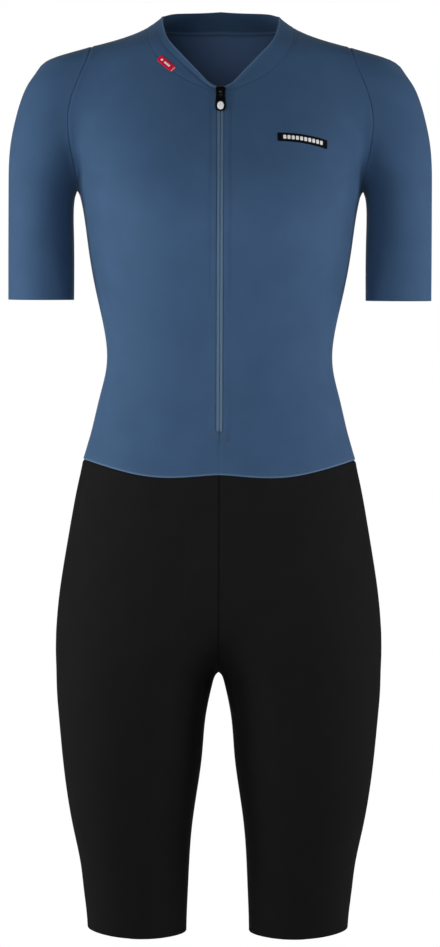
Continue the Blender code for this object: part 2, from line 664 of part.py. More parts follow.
def chamois(panels):
    """The seat pad, a cushion lying inside the crotch."""
    ends = [front_at(np.array(0.0), np.array(PAD_FRONT)), back_centre(np.array(PAD_BACK))]
    turns = [crotch_turn(p) % 360 for p in ends]
    line = evenly(crotch, *turns, N_PAD[1])
    half_width, thick = PAD(np.linspace(0, 1, len(line)))
    rows, point, heading, fine = [line], line, np.array([1.0, 0, 0]) + 0 * line, 6
    for count in range(1, N_PAD[0] * fine + 1):
        out = outward(point)
        heading = heading - (heading * out).sum(-1, keepdims=True) * out
        heading = heading / np.linalg.norm(heading, axis=-1, keepdims=True)
        ahead = snap(point + heading * half_width[:, None] / (N_PAD[0] * fine), 2)
        point, heading = ahead, ahead - point
        if count % fine == 0:
            rows.append(point)
    half = np.stack(rows)
    grid = np.concatenate([mirror_grid(half)[:-1], half])
    across = np.linspace(-1, 1, len(grid))[:, None]
    thick = 0.0012 + (thick[None, :] - 0.0012) * (1 - across ** 4)
    out = outward(grid)
    outer = laid(surface(panels, 1), grid - WALL * out, -PAD_GAP)
    return sheet("chamois_pad", outer, outer - thick[..., None] * out, "pad")


def zip_strip(name, half_width, depth, thick, columns, colour):
    """A strip of the zip, at a depth under the cloth's outer face."""
    top = neck_edge(np.array(0.0))[2]
    seam = neck_seam(np.array(0.0))[2]
    rows = evenly(front_edge, waist(np.array(0.0))[2], seam, N_SIDE + N_ARMHOLE)[:, 2]
    rows = np.concatenate([[ZIP_FOOT - 0.004], rows[rows > ZIP_FOOT], [top]])
    x = np.linspace(-half_width, half_width, columns + 1)
    face = front_at(*[a.copy() for a in np.broadcast_arrays(x[:, None], rows[None, :])])
    out = outward(face)
    return sheet(name, face - depth * out, face - (depth + thick) * out, colour)


def zip_hardware():
    """The slider with its bridge, and the pull that hangs from it."""
    foot = front_at(np.array(0.0), np.array(SLIDER_HEIGHT))
    out = outward(foot)
    up = np.cross(out, (1.0, 0, 0))

    def place(p):
        return foot + p[:, :1] * (1.0, 0, 0) + p[:, 1:2] * out + p[:, 2:] * up

    clear_out, clear_along = BRIDGE_CLEAR[0], BRIDGE_CLEAR[1] / 2
    levels = np.cumsum([REST_GAP, SLIDER_THICK, clear_out, BRIDGE_THICK])
    along = [-SLIDER_LONG / 2, -clear_along - BRIDGE_THICK, -clear_along,
             clear_along, clear_along + BRIDGE_THICK, SLIDER_LONG / 2]
    plate = [(i, 0, k) for i in range(3) for k in range(5)]
    bridge = [(1, 1, 1), (1, 1, 3), (1, 2, 1), (1, 2, 2), (1, 2, 3)]

    def body(p):
        share = (p[:, 2] + SLIDER_LONG / 2) / SLIDER_LONG
        wide = np.abs(p[:, 0]) > BRIDGE_HALF * 1.01
        p[wide, 0] *= (SLIDER_HALF[1] + (SLIDER_HALF[0] - SLIDER_HALF[1]) * share[wide])
        return place(p)

    blocks("zip_slider", (-1.0, -BRIDGE_HALF, BRIDGE_HALF, 1.0), levels, along, plate + bridge,
           body, "metal", (0, 0, 0))

    axis = levels[1] + clear_out / 2
    outline = np.array(PULL_ROWS)
    cuts = PULL_AXIS - outline[::-1, 0]
    side = cuts[:-1] >= PULL_AXIS - PULL_WINDOW[1] - 1e-6
    cells = [(i, 0, k) for i in range(3) for k in range(len(cuts) - 1)
             if i != 1 or not side[k] or k == len(cuts) - 2]

    def tab(p):
        half = np.interp(PULL_AXIS - p[:, 2], outline[:, 0], outline[:, 1])
        wide = np.abs(p[:, 0]) > PULL_WINDOW[0] * 1.01
        p[:, 0] = np.sign(p[:, 0]) * np.where(wide, half, np.minimum(PULL_WINDOW[0], half * 0.6))
        return place(p)

    hinge = place(np.array([[0.0, axis, PULL_AXIS]]))[0]
    blocks("zip_pull", (-1.0, -PULL_WINDOW[0], PULL_WINDOW[0], 1.0),
           (axis - PULL_THICK / 2, axis + PULL_THICK / 2), cuts, cells, tab, "metal", hinge)


for old in list(bpy.data.objects):
    bpy.data.objects.remove(old, do_unlink=True)
front_left, front_right = front_panels()
back_panel()
sleeves()
band = collar()
chamois(shorts())
zip_strip("zip_tape", TAPE_HALF, WALL + REST_GAP, TAPE_THICK, 4, "tape")
zip_strip("zip_chain", CHAIN_HALF, WALL + REST_GAP - SEAM_GAP - CHAIN_THICK, CHAIN_THICK, 1, "coil")
zip_hardware()
patch(surface([front_left], 0), "chest_label", LABEL_CENTRE, LABEL_SIZE, LABEL_TILT, (12, 2), "label")
patch(surface([band, front_right], 0), "collar_tab", TAB_CENTRE, TAB_SIZE, TAB_TILT, (6, 2), "red")
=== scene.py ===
"""Cycling skinsuit, dressed: fine cloth shells, sewn edges, zip, labels and seat pad.

Every piece is a surface worked out from the worn form, the same one that the solid
model is made from. Lengths are metres, the front faces -Y and +X is the wearer's left.
"""

import bpy
import numpy as np
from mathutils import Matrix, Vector


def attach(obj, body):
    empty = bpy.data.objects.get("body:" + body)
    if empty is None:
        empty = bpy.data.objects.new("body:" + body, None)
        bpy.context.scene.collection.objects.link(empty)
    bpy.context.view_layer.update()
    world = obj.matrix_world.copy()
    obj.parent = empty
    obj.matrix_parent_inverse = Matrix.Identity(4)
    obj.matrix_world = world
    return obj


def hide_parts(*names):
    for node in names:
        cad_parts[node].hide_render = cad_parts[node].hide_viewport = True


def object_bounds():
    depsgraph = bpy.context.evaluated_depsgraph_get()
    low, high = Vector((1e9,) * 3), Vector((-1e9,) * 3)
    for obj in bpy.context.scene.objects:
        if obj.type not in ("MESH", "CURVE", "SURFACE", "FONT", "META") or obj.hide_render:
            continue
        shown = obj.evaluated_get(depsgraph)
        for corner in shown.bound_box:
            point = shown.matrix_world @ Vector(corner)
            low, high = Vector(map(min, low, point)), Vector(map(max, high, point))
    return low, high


bl_info = {
    "name": "Cycling skinsuit",
    "version": (1, 0, 0),
    "blender": (4, 5, 0),
    "location": "3D View > Sidebar > Skinsuit",
    "description": "Builds the cloth, seams, zip, labels and pad of a short-sleeved cycling skinsuit",
    "category": "Add Mesh",
}

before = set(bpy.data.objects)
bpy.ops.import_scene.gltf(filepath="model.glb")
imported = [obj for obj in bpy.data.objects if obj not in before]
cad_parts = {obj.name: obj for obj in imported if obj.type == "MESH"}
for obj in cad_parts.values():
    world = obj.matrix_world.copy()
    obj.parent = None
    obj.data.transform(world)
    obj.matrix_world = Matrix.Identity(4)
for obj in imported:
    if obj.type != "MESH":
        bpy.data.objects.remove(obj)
SOLID_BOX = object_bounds()

# ---- the worn form: level cuts, from the neck down ----
# One half of the trunk and the leg it turns into: height, how far the cut's middle
# stands from the mid-plane, half width, depth in front, depth behind, and how softly
# the two halves run together.
TRUNK_ROWS = (
    (0.0550, 0.0000, 0.0520, 0.0480, 0.0600, 0.0000),
    (0.0400, 0.0000, 0.0552, 0.0500, 0.0640, 0.0000),
    (0.0300, 0.0000, 0.0624, 0.0520, 0.0680, 0.0000),
    (0.0200, 0.0000, 0.0755, 0.0540, 0.0720, 0.0000),
    (0.0100, 0.0000, 0.0918, 0.0565, 0.0770, 0.0000),
    (0.0000, 0.0000, 0.1170, 0.0600, 0.0810, 0.0000),
    (-0.0125, 0.0000, 0.1390, 0.0645, 0.0850, 0.0000),
    (-0.0300, 0.0000, 0.1500, 0.0710, 0.0890, 0.0000),
    (-0.0500, 0.0000, 0.1555, 0.0800, 0.0930, 0.0000),
    (-0.0750, 0.0000, 0.1570, 0.0920, 0.0960, 0.0000),
    (-0.1000, 0.0000, 0.1550, 0.1045, 0.0980, 0.0000),
    (-0.1250, 0.0000, 0.1510, 0.1160, 0.0990, 0.0000),
    (-0.1500, 0.0000, 0.1475, 0.1250, 0.0985, 0.0000),
    (-0.1760, 0.0000, 0.1428, 0.1300, 0.0970, 0.0000),
    (-0.2020, 0.0000, 0.1391, 0.1295, 0.0940, 0.0000),
    (-0.2270, 0.0000, 0.1355, 0.1235, 0.0900, 0.0000),
    (-0.2646, 0.0000, 0.1281, 0.1090, 0.0840, 0.0000),
    (-0.3020, 0.0000, 0.1202, 0.0955, 0.0780, 0.0000),
    (-0.3213, 0.0000, 0.1181, 0.0910, 0.0760, 0.0000),
    (-0.3400, 0.0000, 0.1192, 0.0893, 0.0755, 0.0000),
    (-0.3650, 0.0000, 0.1250, 0.0897, 0.0780, 0.0000),
    (-0.4030, 0.0000, 0.1340, 0.0920, 0.0860, 0.0000),
    (-0.4470, 0.0000, 0.1455, 0.0945, 0.0985, 0.0000),
    (-0.4910, 0.0080, 0.1462, 0.0960, 0.1105, 0.0040),
    (-0.5290, 0.0220, 0.1386, 0.0965, 0.1200, 0.0120),
    (-0.5670, 0.0400, 0.1264, 0.0967, 0.1255, 0.0220),
    (-0.6050, 0.0600, 0.1100, 0.0970, 0.1270, 0.0300),
    (-0.6400, 0.0795, 0.0910, 0.0973, 0.1235, 0.0180),
    (-0.6550, 0.0862, 0.0838, 0.0970, 0.1190, 0.0100),
    (-0.6680, 0.0885, 0.0812, 0.0965, 0.1135, 0.0080),
    (-0.7056, 0.0908, 0.0761, 0.0945, 0.1000, 0.0060),
    (-0.7430, 0.0906, 0.0727, 0.0910, 0.0900, 0.0060),
    (-0.7810, 0.0908, 0.0677, 0.0860, 0.0830, 0.0060),
    (-0.8190, 0.0900, 0.0617, 0.0790, 0.0765, 0.0060),
    (-0.8570, 0.0874, 0.0564, 0.0720, 0.0700, 0.0060),
    (-0.8820, 0.0864, 0.0543, 0.0670, 0.0650, 0.0060),
    (-0.9200, 0.0850, 0.0515, 0.0600, 0.0570, 0.0060),
    (-0.9350, 0.0848, 0.0512, 0.0580, 0.0550, 0.0060),
)
TRUNK_POWER = 2.2        # 2 would make each cut an ellipse; more squares it

# The arm, with the shoulder it runs into: height, distance of its inner and outer side
# from the mid-plane, depth in front, depth behind, and how softly it joins the trunk.
ARM_ROWS = (
    (0.0340, 0.0300, 0.0400, 0.0060, 0.0070, 0.0100),
    (0.0188, 0.0400, 0.0660, 0.0100, 0.0200, 0.0200),
    (0.0112, 0.0550, 0.0885, 0.0140, 0.0260, 0.0250),
    (0.0048, 0.0720, 0.1095, 0.0190, 0.0320, 0.0270),
    (-0.0016, 0.0850, 0.1362, 0.0250, 0.0360, 0.0290),
    (-0.0080, 0.0950, 0.1612, 0.0305, 0.0400, 0.0300),
    (-0.0139, 0.1020, 0.1790, 0.0350, 0.0430, 0.0300),
    (-0.0258, 0.1080, 0.1925, 0.0405, 0.0460, 0.0300),
    (-0.0380, 0.1120, 0.2010, 0.0445, 0.0480, 0.0300),
    (-0.0500, 0.1150, 0.2070, 0.0460, 0.0495, 0.0300),
    (-0.0760, 0.1220, 0.2150, 0.0480, 0.0500, 0.0280),
    (-0.1010, 0.1310, 0.2200, 0.0480, 0.0490, 0.0220),
    (-0.1260, 0.1420, 0.2220, 0.0465, 0.0470, 0.0140),
    (-0.1440, 0.1500, 0.2222, 0.0455, 0.0455, 0.0100),
    (-0.1600, 0.1530, 0.2222, 0.0445, 0.0445, 0.0100),
    (-0.2000, 0.1533, 0.2222, 0.0430, 0.0430, 0.0100),
    (-0.2635, 0.1530, 0.2220, 0.0420, 0.0420, 0.0100),
)
ARM_POWER = 2.0
ARM_FLOOR = -0.290       # the arm's form ends below the cuff

# ---- seams and edges ----
# The neck: degrees from the front, and the heights of the collar's edge and seam there.
NECK_ROWS = (
    (0, -0.0520, -0.0570),
    (8, -0.0473, -0.0542),
    (15, -0.0381, -0.0501),
    (25, -0.0250, -0.0434),
    (35, -0.0120, -0.0344),
    (43, -0.0016, -0.0246),
    (55, 0.0149, -0.0031),
    (62, 0.0225, 0.0064),
    (70, 0.0276, 0.0139),
    (80, 0.0308, 0.0182),
    (90, 0.0326, 0.0195),
    (110, 0.0372, 0.0214),
    (130, 0.0412, 0.0227),
    (180, 0.0468, 0.0250),
)
# The waist seam: degrees from the front, height.
WAIST_ROWS = ((-30, -0.4520), (0, -0.4490), (30, -0.4520), (45, -0.4494), (65, -0.4395),
              (80, -0.4337), (90, -0.4328), (135, -0.4315), (180, -0.4300))
# The side seam of the shorts: height, degrees from the front.
SIDE_ROWS = ((-0.434, 71), (-0.498, 70), (-0.540, 71), (-0.590, 79), (-0.650, 90), (-0.925, 90))
SHORTS_SIDE = 71         # where the shorts' side seam leaves the waist, in degrees
SHOULDER_SEAM = 96       # where the shoulder seam leaves the collar, in degrees
ARMHOLE_TOP = 0.1345     # distance of the armhole's top from the mid-plane
ARMPIT = 0.1498          # distance of the armpit from the mid-plane
ARMHOLE_BOW = 0.0160     # how far the armhole bows outwards halfway down
CUFF_HEIGHT = -0.2635    # height of the cuff's back edge
HEM_OUTER, HEM_INNER = -0.9225, -0.9265   # heights of the hem at the two sides of a leg
HEM_DIP = 0.0028         # how far it dips below them at the front
CROTCH_CENTRE = -0.560   # height of the point that the crotch seam turns round
ZIP_HALF_GAP = 0.0040    # from the mid-plane to the cloth's edge beside the zip
ZIP_FOOT = -0.4035       # height of the zip's lower end
ZIP_TAPER = 0.0030       # below its foot the front closes over this length

# ---- how many main cells each run of a seam has, and how finely they are cut ----
N_SIDE, N_ARMHOLE = 11, 9
N_NECK_FRONT, N_NECK_BACK, N_SHOULDER = 6, 4, 4
N_WAIST_FRONT, N_WAIST_SIDE, N_WAIST_BACK = 8, 2, 8
N_INSEAM, N_CROTCH = 10, 10
N_SLEEVE, N_COLLAR = 9, 2
CAP_CROWD = 1.5          # above 1 crowds a sleeve's rows towards its cap
FINE = 7                 # fine cells in a main cell
CROWD = (0.02, 0.045, 0.08, 0.11)        # extra cuts beside a seam, in main cells
SETTLE_ROUNDS = 90       # how often a main grid is evened out
RUN_STEPS = 640          # steps that a seam's length is measured in
HALVINGS = 40            # how often the search for the form's surface halves its reach
SEAM_GAP = 0.000004      # how far a panel stops short of its seam

# ---- relief beside seams and edges ----
SEAM_WIDTH = 0.0011      # half width of the groove where two panels meet
RIDGE_AT, RIDGE_WIDTH, RIDGE_RISE = 0.0034, 0.0017, 0.00022
HEM_ROUND = 0.0007       # how far from a free edge its rounding starts
PLACKET = 0.0063         # width of the turned edge beside the zip
PLACKET_RISE, PLACKET_STEP = 0.00035, 0.0004      # its rise, and the step along its stitches
PLACKET_SOFT, FOOT_SOFT, BOX_SOFT = 0.0008, 0.0040, 0.0010     # lengths these fade over
ZIP_BOX = 0.0120         # height of the stitched box below the zip's foot
NECK_SEAM_SHARE = 0.3    # the collar's seam has this share of the others' depth
TURNED_RISE = 0.0005     # how much thicker a seam's turned edge makes the inner side
INNER_GROOVE = 0.4       # the inner side follows this share of a groove's depth

# ---- bust: two soft rises, bridged between ----
BUST_CENTRE, BUST_SPREAD = (0.070, -0.182), 0.046
BUST_DEPTH = 0.06        # the rise is whole this far in front of the suit's side line

# ---- what settings of one kind share ----
COLOUR = {"min": 0.0, "max": 1.0, "subtype": "COLOR"}
POWER = {"min": 0.0, "max": 500.0, "unit": "POWER"}


class SuitSizes(bpy.types.PropertyGroup):
    """Sizes of the cloth, seams and zip."""
    cloth: bpy.props.FloatProperty(
        name="Cloth", description="Thickness of the knitted cloth",
        default=0.0009, min=0.0003, max=0.002, unit="LENGTH")
    seam_depth: bpy.props.FloatProperty(
        name="Seam depth", description="How deep the groove is where two panels meet",
        default=0.0006, min=0.0, max=0.0012, unit="LENGTH")
    bust: bpy.props.FloatProperty(
        name="Bust", description="How far each side of the bust rises from the level cuts",
        default=0.0045, min=0.0, max=0.010, unit="LENGTH")
    stitch: bpy.props.FloatProperty(
        name="Stitch", description="Length of one stitch with the gap after it",
        default=0.0030, min=0.0015, max=0.006, unit="LENGTH")
    thread: bpy.props.FloatProperty(
        name="Thread", description="Thickness of the sewing thread",
        default=0.00034, min=0.0001, max=0.001, unit="LENGTH")
    coil_pitch: bpy.props.FloatProperty(
        name="Coil pitch", description="Distance between the turns of the zip's coil",
        default=0.00125, min=0.0008, max=0.003, unit="LENGTH")
    pad_clearance: bpy.props.FloatProperty(
        name="Pad clearance", description="Gap between the seat pad and the shorts' inner face",
        default=0.0004, min=0.0002, max=0.003, unit="LENGTH")
    cut_share: bpy.props.FloatProperty(
        name="Cut share", description="Size of the flat cut as a share of the worn, stretched size",
        default=0.93, min=0.8, max=1.0, subtype="FACTOR")


class SuitColours(bpy.types.PropertyGroup):
    """Colours of the cloth, zip, labels and studio."""
    blue: bpy.props.FloatVectorProperty(
        name="Top", description="Colour of the top's cloth",
        default=(0.0400, 0.0875, 0.1740), **COLOUR)
    # Painted highlight: this lighter blue is laid along the waist seam, the collar's edge and inside the
    # collar seam, where the turned edges catch the light.
    blue_painted_highlight: bpy.props.FloatVectorProperty(
        name="Top's edge", description="Colour of the turned edge and the top's thread",
        default=(0.105, 0.180, 0.300), **COLOUR)
    # Painted light: this lighter blue covers the inner side of the top's cloth, in place of light reaching
    # inside the suit.
    blue_painted_light_inside: bpy.props.FloatVectorProperty(
        name="Top's wrong side", description="Colour of the inner side of the top's cloth",
        default=(0.090, 0.160, 0.312), **COLOUR)
    black: bpy.props.FloatVectorProperty(
        name="Shorts", description="Colour of the shorts' cloth",
        default=(0.0102, 0.0102, 0.0102), **COLOUR)
    tape: bpy.props.FloatVectorProperty(
        name="Zip tape", description="Colour of the zip's tape and coil",
        default=(0.075, 0.145, 0.240), **COLOUR)
    lacquer: bpy.props.FloatVectorProperty(
        name="Slider", description="Colour of the slider and its pull",
        default=(0.006, 0.006, 0.007), **COLOUR)
    label: bpy.props.FloatVectorProperty(
        name="Label", description="Colour of the chest label",
        default=(0.0018, 0.0018, 0.0030), **COLOUR)
    mark: bpy.props.FloatVectorProperty(
        name="Marks", description="Colour of the plain marks on label, tab and pull",
        default=(0.80, 0.80, 0.80), **COLOUR)
    red: bpy.props.FloatVectorProperty(
        name="Tab", description="Colour of the collar tab",
        default=(0.60, 0.008, 0.035), **COLOUR)
    pad: bpy.props.FloatVectorProperty(
        name="Pad", description="Colour of the seat pad",
        default=(0.040, 0.042, 0.050), **COLOUR)
    floor: bpy.props.FloatVectorProperty(
        name="Floor", description="Colour of the studio floor",
        default=(0.74, 0.74, 0.74), **COLOUR)


class SuitStudio(bpy.types.PropertyGroup):
    """Camera and lights."""
    distance: bpy.props.FloatProperty(
        name="Distance", description="Distance from the camera to the suit's middle",
        default=3.1, min=1.5, max=8.0, unit="LENGTH")
    view_height: bpy.props.FloatProperty(
        name="View height", description="Height of suit that fills the view",
        default=0.9944, min=0.3, max=3.0, unit="LENGTH")
    shift: bpy.props.FloatProperty(
        name="Shift", description="How far the camera stands to the view's right of the mid-plane",
        default=0.0008, min=-0.5, max=0.5, unit="LENGTH")
    roll: bpy.props.FloatProperty(
        name="Roll", description="Roll of the camera",
        default=np.radians(0.2), subtype="ANGLE")
    left_light: bpy.props.FloatProperty(
        name="Left light", description="Power of the strip box at the view's left",
        default=8.7, **POWER)
    right_light: bpy.props.FloatProperty(
        name="Right light", description="Power of the strip box at the view's right",
        default=8.3, **POWER)
    front_light: bpy.props.FloatProperty(
        name="Front light", description="Power of the softbox in front of the chest",
        default=2.9, **POWER)
    top_light: bpy.props.FloatProperty(
        name="Top light", description="Power of the softbox above and behind the suit",
        default=7.0, **POWER)
    floor_light: bpy.props.FloatProperty(
        name="Floor light", description="Power of the softbox that lights the floor in front",
        default=7.0, **POWER)
    corner_light: bpy.props.FloatProperty(
        name="Corner lights", description="Power of each softbox between a strip and the camera",
        default=5.0, **POWER)
    rim_light: bpy.props.FloatProperty(
        name="Rim lights", description="Power of each strip box beside and behind the suit",
        default=6.0, **POWER)
    back_light: bpy.props.FloatProperty(
        name="Back light", description="Power of the softbox behind the suit",
        default=30.0, **POWER)
    ambient: bpy.props.FloatProperty(
        name="Ambient", description="Strength of the light from the room's white walls",
        default=0.0, min=0.0, max=2.0)


def sizes():
    """The suit's sizes, as set in the sidebar."""
    return bpy.context.scene.suit_sizes


def points_at(x, y, z):
    """Points from their three coordinates, each an array or one number."""
    return np.stack(np.broadcast_arrays(x, y, z), -1)


def unit(vectors):
    """Vectors made one metre long."""
    return vectors / np.linalg.norm(vectors, axis=-1, keepdims=True)


def travelled(points):
    """How far along a line of points each one is."""
    return np.concatenate([[0.0], np.linalg.norm(np.diff(points, axis=0), axis=1).cumsum()])


# ======================= the worn form =======================

def cubic(rows):
    """Natural cubic curves through the columns of a table, by its first column."""
    rows = np.array(sorted(map(tuple, rows)), float)
    x, y = rows[:, 0], rows[:, 1:]
    h, count = np.diff(x), len(x)
    system, right = np.eye(count), np.zeros_like(y)
    for i in range(1, count - 1):
        system[i, i - 1:i + 2] = h[i - 1], 2 * (h[i - 1] + h[i]), h[i]
        right[i] = 6 * ((y[i + 1] - y[i]) / h[i] - (y[i] - y[i - 1]) / h[i - 1])
    bend = np.linalg.solve(system, right)

    def at(value):
        value = np.clip(value, x[0], x[-1])
        i = np.clip(np.searchsorted(x, value) - 1, 0, count - 2)
        below, above, width = value - x[i], x[i + 1] - value, h[i]
        below, above, width = below[..., None], above[..., None], width[..., None]
        curve = (bend[i] * above ** 3 + bend[i + 1] * below ** 3) / (6 * width)
        curve += (y[i] / width - bend[i] * width / 6) * above
        curve += (y[i + 1] / width - bend[i + 1] * width / 6) * below
        return np.moveaxis(curve, -1, 0)
    return at


TRUNK, ARM, NECK = cubic(TRUNK_ROWS), cubic(ARM_ROWS), cubic(NECK_ROWS)
WAIST, SIDE = cubic(WAIST_ROWS), cubic(SIDE_ROWS)


def tube(x, y, half, front, back, power):
    """How far points lie outside a cut with these half width and depths."""
    depth = np.where(y < 0, front, back)
    share = (np.abs(x / half) ** power + np.abs(y / depth) ** power + 1e-12) ** (1 / power)
    reach = np.sqrt(x * x + y * y + 1e-12)
    return reach - reach / share


def merge(a, b, soft):
    """The nearer of two surfaces, run together over the distance soft."""
    soft = np.maximum(soft, 1e-6)
    overlap = np.maximum(soft - np.abs(a - b), 0)
    return np.minimum(a, b) - overlap * overlap / (4 * soft)


def form(p):
    """How far points lie outside the worn form; below zero inside it."""
    x, y, z = np.abs(p[..., 0]), p[..., 1], p[..., 2]
    centre, half, front, back, soft = TRUNK(z)
    centre = np.maximum(centre, 0)
    body = merge(tube(x - centre, y, half, front, back, TRUNK_POWER),
                 tube(x + centre, y, half, front, back, TRUNK_POWER), soft)
    inner, outer, front, back, soft = ARM(z)
    arm = tube(x - (inner + outer) / 2, y, (outer - inner) / 2, front, back, ARM_POWER)
    return merge(body, np.maximum(arm, ARM_FLOOR - z), soft)


def slope(p):
    """The form's gradient, pointing outwards, from a short step to each side."""
    reach = 2e-5
    return np.stack([form(p + s) - form(p - s) for s in reach * np.eye(3)], -1) / (2 * reach)


def outward(p):
    """Unit directions straight out of the form."""
    return unit(slope(p))


def snap(p, rounds=5):
    """Points moved straight onto the form."""
    for _ in range(rounds):
        g = slope(p)
        p = p - g * (form(p) / (g * g).sum(-1))[..., None]
    return p


def meet(path, inside, outside):
    """Where each path, a function of one distance, leaves the form, by halving.

    "inside" and "outside" are distances at which every path is inside and outside it.
    """
    for _ in range(HALVINGS):
        middle = (inside + outside) / 2
        within = form(path(middle)) < 0
        inside, outside = np.where(within, middle, inside), np.where(within, outside, middle)
    return path(outside)


def seam(*runs):
    """A function of distance, in main cells, along runs of (curve, start, stop, cells).

    Within a run the cells are equally long, so panels that share a run share its points.
    """
    parts, total = [], 0
    for curve, start, stop, cells in runs:
        t = np.linspace(start, stop, RUN_STEPS + 1)
        gone = travelled(curve(t))
        parts.append((total, total + cells, curve, t, gone * cells / gone[-1]))
        total += cells

    def at(s):
        points = np.empty(s.shape + (3,))
        for low, high, curve, t, gone in parts:
            within = (s >= low) & (s <= high)
            points[within] = curve(np.interp(s[within] - low, gone, t))
        return points
    return at


def other_side(grid):
    """The same grid on the wearer's other side, still running from right to left."""
    return (grid * (-1.0, 1.0, 1.0))[::-1]


def rays(centre, turn, height):
    """Level paths from an upright line: (centre + r sin(turn), -r cos(turn), height)."""
    return lambda r: points_at(centre + r * np.sin(turn), -r * np.cos(turn), height)


def around(degrees, height):
    """Points of the form in these directions round the mid-line, at these heights."""
    return meet(rays(0, np.radians(degrees), height), 0.01, 0.30)


def neck_edge(degrees):
    """The collar's free edge."""
    return around(degrees, NECK(degrees)[0])


def neck_seam(degrees):
    """The seam between the collar and the top."""
    return around(degrees, NECK(degrees)[1])


def waist(degrees):
    """The seam between the top and the shorts."""
    return around(degrees, WAIST(degrees)[0])


def front_at(x, z):
    """Points of the form's front at these distances from the mid-plane and heights."""
    return meet(lambda r: points_at(x, -r, z), 0, 0.2)


def back_centre(z):
    """The form's back in the mid-plane."""
    return meet(lambda r: points_at(0, r, z), 0, 0.2)


def front_edge(z):
    """The cloth's edge down the front: beside the zip, then on the mid-plane."""
    share = np.clip((z - ZIP_FOOT + ZIP_TAPER) / ZIP_TAPER, 0, 1)
    return front_at(ZIP_HALF_GAP * share * share * (3 - 2 * share), z)


def underarm(z):
    """The top's side seam, below the armpit."""
    return meet(lambda r: points_at(r, 0, z), 0.08, ARMPIT)


def armpit():
    """The armhole's lowest and highest points."""
    foot = meet(lambda r: points_at(ARMPIT, 0, -r), 0.09, 0.19)
    return foot, meet(lambda r: points_at(ARMHOLE_TOP, 0, r), -0.05, 0.07)


def armhole(degrees):
    """Points round the armhole: -90 is the armpit, 0 the front, 90 the shoulder."""
    foot, top = armpit()
    middle, up = (foot + top) / 2, (top - foot) / 2
    half = np.linalg.norm(up)
    up, turn = up / half, np.radians(degrees)
    out = np.cross((0, 1, 0), up)

    def path(r):
        rise = r * np.sin(turn)
        bow = ARMHOLE_BOW * (1 - np.minimum((rise / half) ** 2, 1)) ** 2
        return (middle + rise[..., None] * up + bow[..., None] * out
                - (r * np.cos(turn))[..., None] * (0, 1, 0))
    return meet(path, 0, 0.13)


def shoulder(t):
    """The shoulder seam, from the collar at 0 to the armhole at 1."""
    near = neck_seam(SHOULDER_SEAM)
    flat = near + t[..., None] * (armpit()[1] - near)
    return meet(lambda r: points_at(flat[..., 0], flat[..., 1], r - 0.05), 0, 0.12)


def crotch(degrees):
    """The seam between the legs: 0 points forwards, 90 down and 180 back."""
    turn = np.radians(degrees)
    return meet(lambda r: points_at(0, -r * np.cos(turn), CROTCH_CENTRE - r * np.sin(turn)), 0.01, 0.25)


def crotch_turn(p):
    """The direction, as crotch() counts it, of a point in the mid-plane."""
    return np.degrees(np.arctan2(CROTCH_CENTRE - p[2], -p[1]))


def leg_at(degrees, z):
    """Points round a leg: 0 is its front, 90 its outer side and -90 its inner."""
    return meet(rays(np.maximum(TRUNK(z)[0], 0), np.radians(degrees), z), 0.01, 0.20)


def hem(degrees):
    """The hem of a leg: a tilted ring that dips at the front."""
    turn = np.radians(degrees)
    height = (HEM_OUTER + HEM_INNER) / 2 + (HEM_OUTER - HEM_INNER) / 2 * np.sin(turn)
    return leg_at(degrees, height - HEM_DIP * np.maximum(np.cos(turn), 0) ** 4)


def shorts_side(z):
    """The shorts' side seam."""
    return leg_at(SIDE(z)[0], z)


def inseam(z):
    """The seam down a leg's inner side."""
    centre = np.maximum(TRUNK(z)[0], 0)
    return meet(lambda r: points_at(centre - r, 0, z), 0, centre)


def arm_middle(z):
    """How far the arm's middle stands from the mid-plane at these heights."""
    inner, outer = ARM(z)[:2]
    return (inner + outer) / 2


def cuff(degrees):
    """Points round the cuff: -90 is the side by the body, 0 the front."""
    return meet(rays(arm_middle(CUFF_HEIGHT), np.radians(degrees), CUFF_HEIGHT), 0, 0.1)


def zip_side():
    """The direction, from the front, of the cloth's edge beside the zip at the neck."""
    return np.degrees(np.arcsin(ZIP_HALF_GAP / -neck_seam(0.0)[1]))


# ======================= grids of cloth =======================

def settled(grid, ring=False):
    """A grid whose inner points have evened out on the form; its edges stay.

    Each point moves to the mean of its four neighbours, and back onto the form. On a
    ring the two beside it count 0.4 of the two above and below.
    """
    grid = grid.copy()
    for _ in range(SETTLE_ROUNDS):
        if ring:
            along = grid[:, :-2] + grid[:, 2:]
            round_it = np.roll(grid, 1, 0)[:, 1:-1] + np.roll(grid, -1, 0)[:, 1:-1]
            grid[:, 1:-1] = snap((along + 0.4 * round_it) / 2.8, 1)
        else:
            sides = grid[:-2, 1:-1] + grid[2:, 1:-1] + grid[1:-1, :-2] + grid[1:-1, 2:]
            grid[1:-1, 1:-1] = snap(sides / 4, 1)
    return grid


def coons(left, right, bottom, top, u, v):
    """Four edges carried across a grid: both straight blends, less the corners' blend."""
    u, v = u[:, None, None], v[None, :, None]
    grid = (1 - u) * left[None] + u * right[None] + (1 - v) * bottom[:, None] + v * top[:, None]
    return grid - ((1 - u) * (1 - v) * left[0] + u * (1 - v) * right[0]
                   + (1 - u) * v * left[-1] + u * v * right[-1])


def crowded(cells, high=True):
    """Cuts across a number of main cells, evenly fine and crowded beside the seams."""
    near = np.array(CROWD)
    cuts = [np.arange(cells * FINE + 1) / FINE, near, cells - near if high else near]
    return np.unique(np.concatenate(cuts).round(6))


def refined(grid, u, v):
    """A grid read at finer cuts, along cubic curves through its points both ways."""
    for cuts in (u, v):
        wide, high = grid.shape[:2]
        rows = np.column_stack([np.arange(wide), grid.reshape(wide, -1)])
        grid = np.moveaxis(cubic(rows)(cuts).reshape(high, 3, len(cuts)), 1, 2)
    return grid


